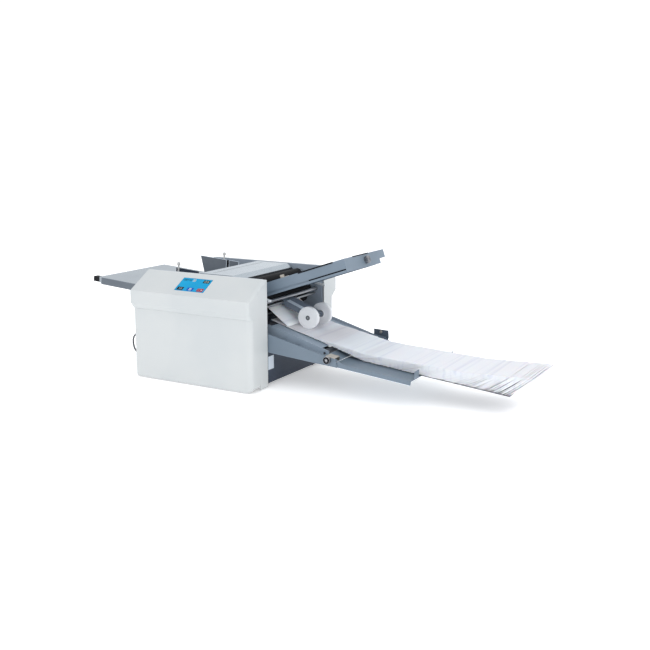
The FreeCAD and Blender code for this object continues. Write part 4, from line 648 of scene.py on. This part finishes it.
def make_letters():
    """Folded letters that shingle up the belts and fan out on the extension."""
    chance = random.Random(LETTER_SEED)
    points = []
    faces = []
    foot = 0.0
    whole = line_length(LETTER_LOWER)
    while foot < whole:
        length = LETTER_LENGTH + LAST_LETTERS_OPEN * max(0, 1 - (whole - foot) / LAST_REACH)
        low = along_line(LETTER_LOWER, foot)
        high = upper_end(low, foot, length)
        drift = chance.uniform(-LETTER_DRIFT, LETTER_DRIFT)
        skew = chance.uniform(-LETTER_SKEW, LETTER_SKEW)
        pass_over(chance, high[0])
        bow = chance.uniform(*LETTER_BOW)
        bow *= min(1, math.dist(low, high) / LETTER_LENGTH) * min(1, foot / SETTLE_REACH)
        faces += strip_faces(len(points), LETTER_STEPS)
        points += letter_points(low, high, drift, skew, bow, min(1, foot / FAN_REACH))
        foot += chance.uniform(*LETTER_PITCH)
    letters = add_mesh("letters", points, faces, "letter_paper", "housing")
    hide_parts("folded_letters")


def make_leaving_letter():
    """The letter that is half out of the last nip, its front drooping onto the belts."""
    points = []
    for x, z in LEAVING_LINE:
        for rise in (0, LEAVING_THICK):
            for side in (-LETTER_HALF, LETTER_HALF):
                points.append((x, side + LEAVING_SHIFT, z + rise))
    faces = strip_faces(0, len(LEAVING_LINE) - 1)
    add_mesh("leaving_letter", points, faces, "letter_paper", "housing", smooth=True)


# ---------------------------------------------------------------- rollers and wheels
SLEEVE_HALF = 173
SLEEVE_RADIUS = 17.98
SLEEVE_EDGE_RADIUS = 17.9
SLEEVE_BORE_RADIUS = 17.6


def make_roller_sleeves():
    """Ground rubber sleeves on the steel bodies of the fold rollers."""
    full = SLEEVE_HALF - 0.4
    sleeve = [
        (-SLEEVE_HALF, SLEEVE_EDGE_RADIUS),
        (-full, SLEEVE_RADIUS),
        (full, SLEEVE_RADIUS),
        (SLEEVE_HALF, SLEEVE_EDGE_RADIUS),
        (SLEEVE_HALF, SLEEVE_BORE_RADIUS),
        (-SLEEVE_HALF, SLEEVE_BORE_RADIUS),
    ]
    for number in range(1, 5):
        node = f"fold_roller_{number}"
        middle = centre_of(node)
        add_turned(f"roller_sleeve_{number}", (middle.x, 0, middle.z), TO_REAR, [sleeve],
                   "roller_rubber", node)


WHEEL_FACES = {"near": -53, "far": 39}
HUB_RADII = {"near": 8.2, "far": 12}
HUB_SINKS = {"near": 0, "far": 3}


def make_wheel_trim():
    """Hub rings with dark rings of painted shade in their bores, and a moulded ring near each rim, on the
    stacker wheels.
    """
    middle = centre_of("stacker_wheels")
    bore = [(1.4, 4.1), (1.7, 4.1), (1.7, 5.9), (1.4, 5.9)]
    rim = [(0, 31), (0.5, 31.6), (0.5, 33.4), (0, 34)]
    for label, face in WHEEL_FACES.items():
        hub = [(0, 4.4), (1.4, 4.4), (1.4, 6.6), (1.0, HUB_RADII[label]), (0, HUB_RADII[label])]
        start = (middle.x, face - HUB_SINKS[label], middle.z)
        add_turned(f"{label}_wheel_hub", start, TO_OPERATOR, [hub],
                   "grey_trim_and_shade", "stacker_wheels")
        add_turned(f"{label}_wheel_bore_shade", start, TO_OPERATOR, [bore],
                   "dark_trim_and_shade", "stacker_wheels")
    for label, face in WHEEL_FACES.items():
        add_turned(f"{label}_wheel_rim", (middle.x, face, middle.z), TO_OPERATOR, [rim],
                   "wheel_plastic", "stacker_wheels")


# ---------------------------------------------------------------- delivery
KNURL_RIDGES = 40
NEAR_KNOB_FACE = -199.6
FAR_KNOB_START = 189.6


def make_clamp_trim():
    """Knurled rims of both clamp knobs, and a dark washer round the near one's screw end."""
    for side, start in (("near", NEAR_KNOB_FACE), ("far", FAR_KNOB_START)):
        add_ridges(f"{side}_clamp_knurl", (CLAMP_X, start, CLAMP_Z), TO_REAR, KNOB_RADIUS, KNOB_LENGTH,
                   KNURL_RIDGES, "knob_chrome", f"{side}_clamp_knob")
    near_face = (CLAMP_X, NEAR_KNOB_FACE, CLAMP_Z)
    screw_end = [(0, 3.2), (0.9, 3.4), (0.9, 5.2), (0, 5.6)]
    face_ring = [(0, 8.4), (0.7, 8.8), (0.7, 10.4), (0, 10.8)]
    washer = [(0, 6), (1.1, 6.2), (1.1, 11), (0, 11.6)]
    add_turned("near_clamp_face", near_face, TO_OPERATOR, [screw_end, face_ring],
               "grey_trim_and_shade", "near_clamp_knob")
    add_turned("near_clamp_washer", near_face, TO_OPERATOR, [washer],
               "dark_trim_and_shade", "near_clamp_knob")


def make_far_bracket_screw():
    """Screw head on the far clamp's upright bracket."""
    head = [(0, 0.4), (0, 5.2), (2.4, 5.2), (3.4, 3.6), (3.4, 0.4)]
    add_turned("far_bracket_screw", (484, 187, 147), TO_OPERATOR, [head],
               "zinc_plate", "housing")


def make_bare_plate():
    """Bare plate on the delivery end wall, where the photo has a label."""
    plate = slab(FLAT, (DELIVERY_WALL + 0.05, DELIVERY_WALL + 0.6), (-180, -146), (58, 104))
    add_slabs("bare_plate", [plate], "pale_trim_and_highlight", "housing", bevel=0.1)


def make_bed_far_lip():
    """Raised lip along the far edge of the belt bed."""
    lip = slab(BED, (4, BED_LENGTH - 4), (BED_HALF - 1, BED_HALF + 1.4), (-6, 8.5))
    # The lip's lighter paint is painted light on a shaded face.
    add_slabs("bed_far_lip", [lip], "lip_paint_lit", "housing")


def make_bed_apron():
    """Apron that bridges from the bed's end to below the extension."""
    apron = Slope(459.8, 134.5, -23.5)
    add_slabs("bed_apron", [slab(apron, (0, 43.4), around(0, 176), (-1.2, 0))],
              "rail_paint", "housing")


def make_tray_hem():
    """Bright hem along the lower edge of each lip of the extension."""
    add_slabs("tray_hem", [
        slab(TRAY, (1, TRAY_LENGTH - 1), around(side * TRAY_HALF, 0.5), (-TRAY_LIP - 0.3, -TRAY_LIP + 1.1))
        for side in (-1, 1)
    ], "pale_trim_and_highlight", "extension")


def make_arm_top_highlight():
    """Pale strip on top of the stacker arm, which runs from its pivot to the wheels: a painted highlight
    where the top face catches the light.
    """
    middle = centre_of("stacker_wheels")
    tilt = math.degrees(math.atan2(middle.z - STACKER_PIVOT[1], middle.x - STACKER_PIVOT[0]))
    add_slabs("arm_top_highlight", [slab(Slope(*STACKER_PIVOT, tilt), (10, 74), (-32, -9), (9.0, 9.35))],
              "pale_trim_and_highlight", "stacker_arm", bevel=0.1)


# ---------------------------------------------------------------- fold plate
def make_plate_edging():
    """Dark strips on the plate's rail and end, and a strip of painted shade in its lower slot."""
    edging = (PLATE_RAIL - 3.7, PLATE_RAIL + 1.1)
    end_edging = (PLATE_RAIL - 2.5, PLATE_RAIL + 1.1)
    add_slabs("plate_edging", [
        slab(PLATE, (118, 256), (-PLATE_HALF - 1.2, -PLATE_HALF + 0.1), edging),
        slab(PLATE, (PLATE_LENGTH - 1.7, PLATE_LENGTH + 0.9), (-83, 26), end_edging),
    ], "dark_trim_and_shade", "fold_plate")
    slot_shade_strip = slab(PLATE, (150, 296), (-PLATE_HALF + 0.4, -PLATE_HALF + 1.8), (-4.6, -0.5))
    add_slabs("plate_slot_shade", [slot_shade_strip], "dark_trim_and_shade", "fold_plate", bevel=0.1)


def make_plate_bracket():
    """Bare bracket on the plate's upper sheet, with a dark disc of painted shade for its tapped hole."""
    foot = slab(PLATE, (44, 64), (-138, -114), (PLATE_RAIL, PLATE_RAIL + 1.9))
    upright = slab(PLATE, (44, 46), (-138, -114), (PLATE_RAIL + 1.7, PLATE_RAIL + 10.5))
    add_slabs("plate_bracket", [foot, upright], "zinc_plate", "fold_plate")
    hole = [(0, 0.1), (0.3, 0.1), (0.3, 3.6), (0, 3.6)]
    add_turned("plate_bracket_hole_shade", PLATE.point(56, -126, PLATE_RAIL + 1.9), PLATE.up, [hole],
               "dark_trim_and_shade", "fold_plate")


def make_stop_knob_trim():
    """Knurling and face rings of the fold stop's knob, which stands at the plate's end."""
    end = end_face("plate_stop_knob", PLATE.along, KNOB_RADIUS)
    add_ridges("stop_knurl", end, -PLATE.along, KNOB_RADIUS, KNOB_LENGTH, KNURL_RIDGES,
               "knob_chrome", "plate_stop_knob", proud=0.4)
    screw_end = [(0, 3.4), (0.8, 3.6), (0.8, 5.4), (0, 5.8)]
    face_ring = [(0, 8.2), (0.7, 8.6), (0.7, 10.4), (0, 10.8)]
    add_turned("stop_knob_face", end, PLATE.along, [screw_end, face_ring],
               "grey_trim_and_shade", "plate_stop_knob")


# ---------------------------------------------------------------- infeed
GUIDE_START = 262
GUIDE_LENGTH = 152
GUIDE_HEIGHT = 78
GUIDE_SLOT = (96, 108)
GUIDE_SLOT_FOOT = 14
GUIDE_FACE = 111
SCREW_RADIUS = 5.5
SCREW_HEAD = 10
SCREW_RIDGES = 16


def make_cover_trim():
    """A grey strip of painted shade for the groove by the feed cover's hinge, and a dark strip of painted
    shade on the lower part of its lip.
    """
    groove = slab(FLAT, (1.5, 5.5), around(0, 152), (FRAME_TOP - 0.1, FRAME_TOP + 0.2))
    # The flat grey strip is painted shade where the groove is.
    add_slabs("cover_groove_shade", [groove], "grey_trim_and_shade", "feed_cover", bevel=0.05)
    lip = Slope(COVER_END, FRAME_TOP, -38)
    # Painted shade on the lower part of the lip, which faces away from the light.
    add_slabs("cover_lip_shade", [slab(lip, (23, 33.6), around(0, COVER_HALF), (0.05, 1.1))],
              "dark_trim_and_shade", "feed_cover")


def make_table_side_shade():
    """Painted shade: a darker strip on each side flange of the infeed table, where the flange lies in
    shadow.
    """
    add_slabs("table_side_shade", [
        slab(TABLE, (10, 250), around(side * TABLE_HALF, 0.45), (-26.8, -2)) for side in (-1, 1)
    ], "side_shade_paint", "housing")


def make_guide_trim():
    """The far guide's bare cut edges, and the dark strip behind its slot."""
    left, right = GUIDE_SLOT
    top = (GUIDE_HEIGHT - 0.8, GUIDE_HEIGHT + 0.4)
    slot_rise = (GUIDE_SLOT_FOOT, GUIDE_HEIGHT)
    edges = (
        ((-23.5, left), top),
        ((right, GUIDE_LENGTH), top),
        ((left - 1.5, left + 0.3), slot_rise),
        ((right - 0.3, right + 1.2), slot_rise),
        ((GUIDE_LENGTH - 1.4, GUIDE_LENGTH + 0.4), (4, GUIDE_HEIGHT)),
    )
    add_slabs("guide_rims", [
        slab(TABLE, (GUIDE_START + start, GUIDE_START + end), around(GUIDE_FACE, 1.3), rise)
        for (start, end), rise in edges
    ], "pale_trim_and_highlight", "far_guide")
    strip = slab(TABLE, (GUIDE_START + left - 2, GUIDE_START + right + 2),
                 (GUIDE_FACE + 1.05, GUIDE_FACE + 1.7), (GUIDE_SLOT_FOOT - 2, GUIDE_HEIGHT - 1))
    add_slabs("guide_slot_strip", [strip], "dark_trim_and_shade", "far_guide", bevel=0.1)


def make_guide_screw_trim():
    """Knurling and a cap on the head of each guide screw, which stands square to the table."""
    cap = [(0, 0.1), (0.7, 0.1), (0.7, 3.8), (0, 4.4)]
    for side in ("near", "far"):
        node = f"{side}_guide_screw"
        top = end_face(node, TABLE.up, SCREW_RADIUS)
        add_ridges(f"{side}_screw_knurl", top, -TABLE.up, SCREW_RADIUS, SCREW_HEAD, SCREW_RIDGES,
                   "screw_zinc", node)
        add_turned(f"{side}_screw_cap", top, TABLE.up, [cap], "grey_trim_and_shade", node)


# ---------------------------------------------------------------- cord end and plug
RELIEF_START = -252.3
RIB_ROOT = 4
RELIEF_RIBS = ((1.6, 7.0), (4.6, 7.0), (7.6, 7.0), (12.0, 5.5), (14.8, 5.5), (17.4, 5.5))
PLUG_TAIL_START = 92
PLUG_GRIPS = (112, 116, 120, 124, 128)


def rib(along, radius, width):
    """Section of one moulded rib round a cord."""
    return [(along, RIB_ROOT), (along, radius), (along + width, radius), (along + width, RIB_ROOT)]


def make_cord_trim():
    """Moulded ribs on the strain relief and the plug's tail, and grips on the plug's sides."""
    add_turned("relief_ribs", (RELIEF_START, CORD_EXIT_Y, CORD_EXIT_Z), TO_INFEED,
               [rib(along, radius, 1.4) for along, radius in RELIEF_RIBS],
               "cord_rubber", "housing")
    add_turned("plug_tail_ribs", (PLUG_X, PLUG_TAIL_START, PLUG_AXIS), TO_REAR,
               [rib(along, 5.4, 1.5) for along in (0, 3, 6, 9, 12)],
               "cord_rubber", "housing")
    add_slabs("plug_grips", [
        slab(FLAT, around(PLUG_X + side * 12.2, 0.5), (along, along + 1.6), (3, 17))
        for side in (-1, 1) for along in PLUG_GRIPS
    ], "cord_rubber", "housing", bevel=0.3)


# ---------------------------------------------------------------- screen picture
# The operator hood's raked band: how far it runs out and falls, as shares of its own length.
BAND_LENGTH = 113.85
BAND_RUN = 98 / BAND_LENGTH
BAND_FALL = 57.95 / BAND_LENGTH
BAND_TOP_Y = -207.3
SCREEN_LEFT = -66
SCREEN_DOWN = 22
SCREEN_LENGTH = 122
SCREEN_HEIGHT = 68
SCREEN_EDGE = 0.9
KEY_CORNER = 1.2
FIGURE_PITCH = 1.55
SECOND_INK = 0.93
# How proud each kind of print stands of the glass, from its underside to its top.
BEZEL_PRINT = (0.02, 0.1)
PRINT = (0.02, 0.12)
OVERPRINT = (0.14, 0.22)
TOP_PRINT = (0.24, 0.3)
# Strokes of plain block figures, one unit wide and two high, from the top left corner down.
FIGURE_STROKES = {
    "0": [((0, 0), (1, 0)), ((1, 0), (1, 2)), ((1, 2), (0, 2)), ((0, 2), (0, 0))],
    "1": [((0.5, 0), (0.5, 2)), ((0.15, 0.4), (0.5, 0))],
    "4": [((0, 0), (0, 1.1)), ((0, 1.1), (1.1, 1.1)), ((0.8, 0), (0.8, 2))],
    "9": [((0, 0), (1, 0)), ((1, 0), (1, 2)), ((1, 2), (0.1, 2)), ((0, 0), (0, 1)), ((0, 1), (1, 1))],
    "X": [((0, 0), (1, 2)), ((1, 0), (0, 2))],
}


def on_screen(across, down, proud):
    """A body point over the screen's face, measured from its top left corner."""
    reach = SCREEN_DOWN + down
    return (
        SCREEN_LEFT + across,
        BAND_TOP_Y - reach * BAND_RUN - proud * BAND_FALL,
        FRAME_TOP - reach * BAND_FALL + proud * BAND_RUN,
    )


def stroke(start, end, width):
    """A straight line of some width as four corners."""
    along = (Vector(end) - Vector(start)).normalized() * width / 2
    side = Vector((-along.y, along.x))
    first = Vector(start) - along
    last = Vector(end) + along
    return [tuple(corner) for corner in (first - side, last - side, last + side, first + side)]


def outlined(corners, width):
    """A closed outline as strokes."""
    return [stroke(a, b, width) for a, b in zip(corners, corners[1:] + corners[:1])]


def panel(left, right, top, bottom):
    """A rectangle with its corners cut."""
    cut = KEY_CORNER
    return [(left + cut, top), (right - cut, top), (right, top + cut), (right, bottom - cut),
            (right - cut, bottom), (left + cut, bottom), (left, bottom - cut), (left, top + cut)]


def figures(text, left, top, wide, high, width):
    """Plain block figures as strokes."""
    strokes = []
    for place, figure in enumerate(text):
        base = left + place * wide * FIGURE_PITCH
        for (start_x, start_y), (end_x, end_y) in FIGURE_STROKES[figure]:
            strokes.append(stroke((base + start_x * wide, top + start_y * high / 2),
                                  (base + end_x * wide, top + end_y * high / 2), width))
    return strokes


def arc(centre, radius, start, end, width, steps=14):
    """A bent line as short strokes."""
    spots = []
    for step in range(steps + 1):
        angle = math.radians(start + (end - start) * step / steps)
        spots.append((centre[0] + radius * math.cos(angle), centre[1] + radius * math.sin(angle)))
    return [stroke(a, b, width) for a, b in zip(spots, spots[1:])]


DIAMOND = [(99.5, 7.4), (104.6, 12.6), (99.5, 17.8), (94.4, 12.6)]
PAGE = [(56.4, 50.8), (63.2, 50.8), (66.0, 53.6), (66.0, 62.2), (56.4, 62.2)]
START_POINT = [(106.4, 52.0), (111.8, 56.5), (106.4, 61.0)]
RESET_POINT = [(54.6, 8.8), (51.0, 9.0), (53.6, 5.8)]
SCREEN_FRAME = [
    (SCREEN_EDGE, SCREEN_EDGE),
    (SCREEN_LENGTH - SCREEN_EDGE, SCREEN_EDGE),
    (SCREEN_LENGTH - SCREEN_EDGE, SCREEN_HEIGHT - SCREEN_EDGE),
    (SCREEN_EDGE, SCREEN_HEIGHT - SCREEN_EDGE),
]
# Each layer of print: its closed outlines across and down the screen, its colour and its height.
SCREEN_LAYERS = {
    "screen_figures": (figures("000149", 7.2, 7.0, 3.6, 7.2, 1.1), (18, 46, 66), PRINT),
    "screen_reset": ([panel(45, 57, 5, 17)], (176, 200, 210), PRINT),
    "screen_reset_arrow": ([*arc((51, 11), 3.4, -60, 220, 0.9), RESET_POINT], (24, 92, 132), OVERPRINT),
    "screen_green_key": ([panel(89.5, 115.5, 5, 20.2)], (10, 58, 50), PRINT),
    "screen_black_key": ([panel(6.5, 32, 48.7, 64.3)], (12, 16, 24), PRINT),
    "screen_blue_key": ([panel(47.8, 73.8, 48.7, 64.3)], (28, 88, 190), PRINT),
    "screen_red_key": ([panel(89.5, 115, 48.7, 64.3)], (168, 30, 40), PRINT),
    "screen_marks": ([
        *outlined(DIAMOND, 1.0),
        stroke((109.5, 8.6), (109.5, 16.6), 2.0),
        *figures("1X", 14.0, 52.4, 4.6, 8.2, 1.2),
        PAGE,
        *arc((99.0, 56.5), 4.4, 0, 360, 1.0, steps=20),
        START_POINT,
    ], (196, 208, 216), OVERPRINT),
    "screen_page_lines": ([stroke((58.2, down), (64.2, down), 0.8) for down in (55.2, 57.4, 59.6)],
                          (60, 120, 196), TOP_PRINT),
    "screen_bezel": (outlined(SCREEN_FRAME, 0.8), (14, 112, 158), BEZEL_PRINT),
}


def add_screen_layer(name, outlines, colour, heights):
    """Flat printed shapes on the glass, each a closed outline."""
    points = []
    faces = []
    for outline in outlines:
        first = len(points)
        count = len(outline)
        points += [on_screen(*spot, proud) for proud in heights for spot in outline]
        faces.append(tuple(first + count + row for row in reversed(range(count))))
        faces.append(tuple(first + row for row in range(count)))
        for row in range(count):
            after = (row + 1) % count
            faces.append((first + after, first + row, first + count + row, first + count + after))
    second = tuple(value * SECOND_INK for value in colour)
    LOOKS[name] = finish_of(name, colour, second, (0.2, 0.3), bump=0.02, gloss=0.08)
    add_mesh(name, points, faces, name, "housing")


def make_screen_picture():
    """Generic figures, keys and symbols on the touch screen."""
    for name, (outlines, colour, heights) in SCREEN_LAYERS.items():
        add_screen_layer(name, outlines, colour, heights)


# ---------------------------------------------------------------- stage
FLOOR_HALF = 9
FLOOR_DROP = 0.0005
FLOOR_GLOW = 0.4
SKY_COLOUR = (0.955, 0.975, 1, 1)
SKY_STRENGTH = 1.12
LAMP_AIM = (0, 0, 0.2)


def make_floor():
    """White floor, in metres, that glows a little so that it fades into the background."""
    corners = [(-1, -1), (1, -1), (1, 1), (-1, 1)]
    data = bpy.data.meshes.new("floor")
    data.from_pydata([(x * FLOOR_HALF, y * FLOOR_HALF, 0) for x, y in corners], [], [(0, 1, 2, 3)])
    shader = LOOKS["floor_paint"].node_tree.nodes["Principled BSDF"]
    shader.inputs["Emission Color"].default_value = (1, 1, 1, 1)
    shader.inputs["Emission Strength"].default_value = FLOOR_GLOW
    data.materials.append(LOOKS["floor_paint"])
    floor = bpy.data.objects.new("floor", data)
    bpy.context.scene.collection.objects.link(floor)
    floor.location.z = -FLOOR_DROP


def add_lamp(name, energy, size, place):
    """A soft square light, placed in metres and aimed at the object."""
    data = bpy.data.lights.new(name, "AREA")
    data.energy = energy
    data.size = size
    light = bpy.data.objects.new(name, data)
    light.location = place
    light.rotation_euler = (Vector(LAMP_AIM) - Vector(place)).to_track_quat("-Z", "Y").to_euler()
    bpy.context.scene.collection.objects.link(light)


def make_world():
    """Even, faintly blue light from all around."""
    world = bpy.data.worlds.new("world")
    bpy.context.scene.world = world
    world.use_nodes = True
    background = world.node_tree.nodes["Background"]
    background.inputs["Color"].default_value = SKY_COLOUR
    background.inputs["Strength"].default_value = SKY_STRENGTH


# ---------------------------------------------------------------- the whole scene
flex = make_cord()
make_letters()
make_leaving_letter()
make_roller_sleeves()
make_wheel_trim()
make_clamp_trim()
make_plate_edging()
make_cover_trim()
make_arm_top_highlight()
make_table_side_shade()
make_far_bracket_screw()
make_bare_plate()
make_bed_far_lip()
make_bed_apron()
make_tray_hem()
make_plate_bracket()
make_stop_knob_trim()
make_guide_trim()
make_guide_screw_trim()
make_cord_trim()
make_screen_picture()
make_floor()
add_lamp("key", energy=2, size=2.2, place=(0.6, -2.2, 2.6))
add_lamp("fill", energy=13, size=3.0, place=(2.8, -0.6, 1.4))
add_lamp("back", energy=3, size=3.0, place=(-1.8, 1.8, 2.4))
make_world()

bpy.context.view_layer.update()
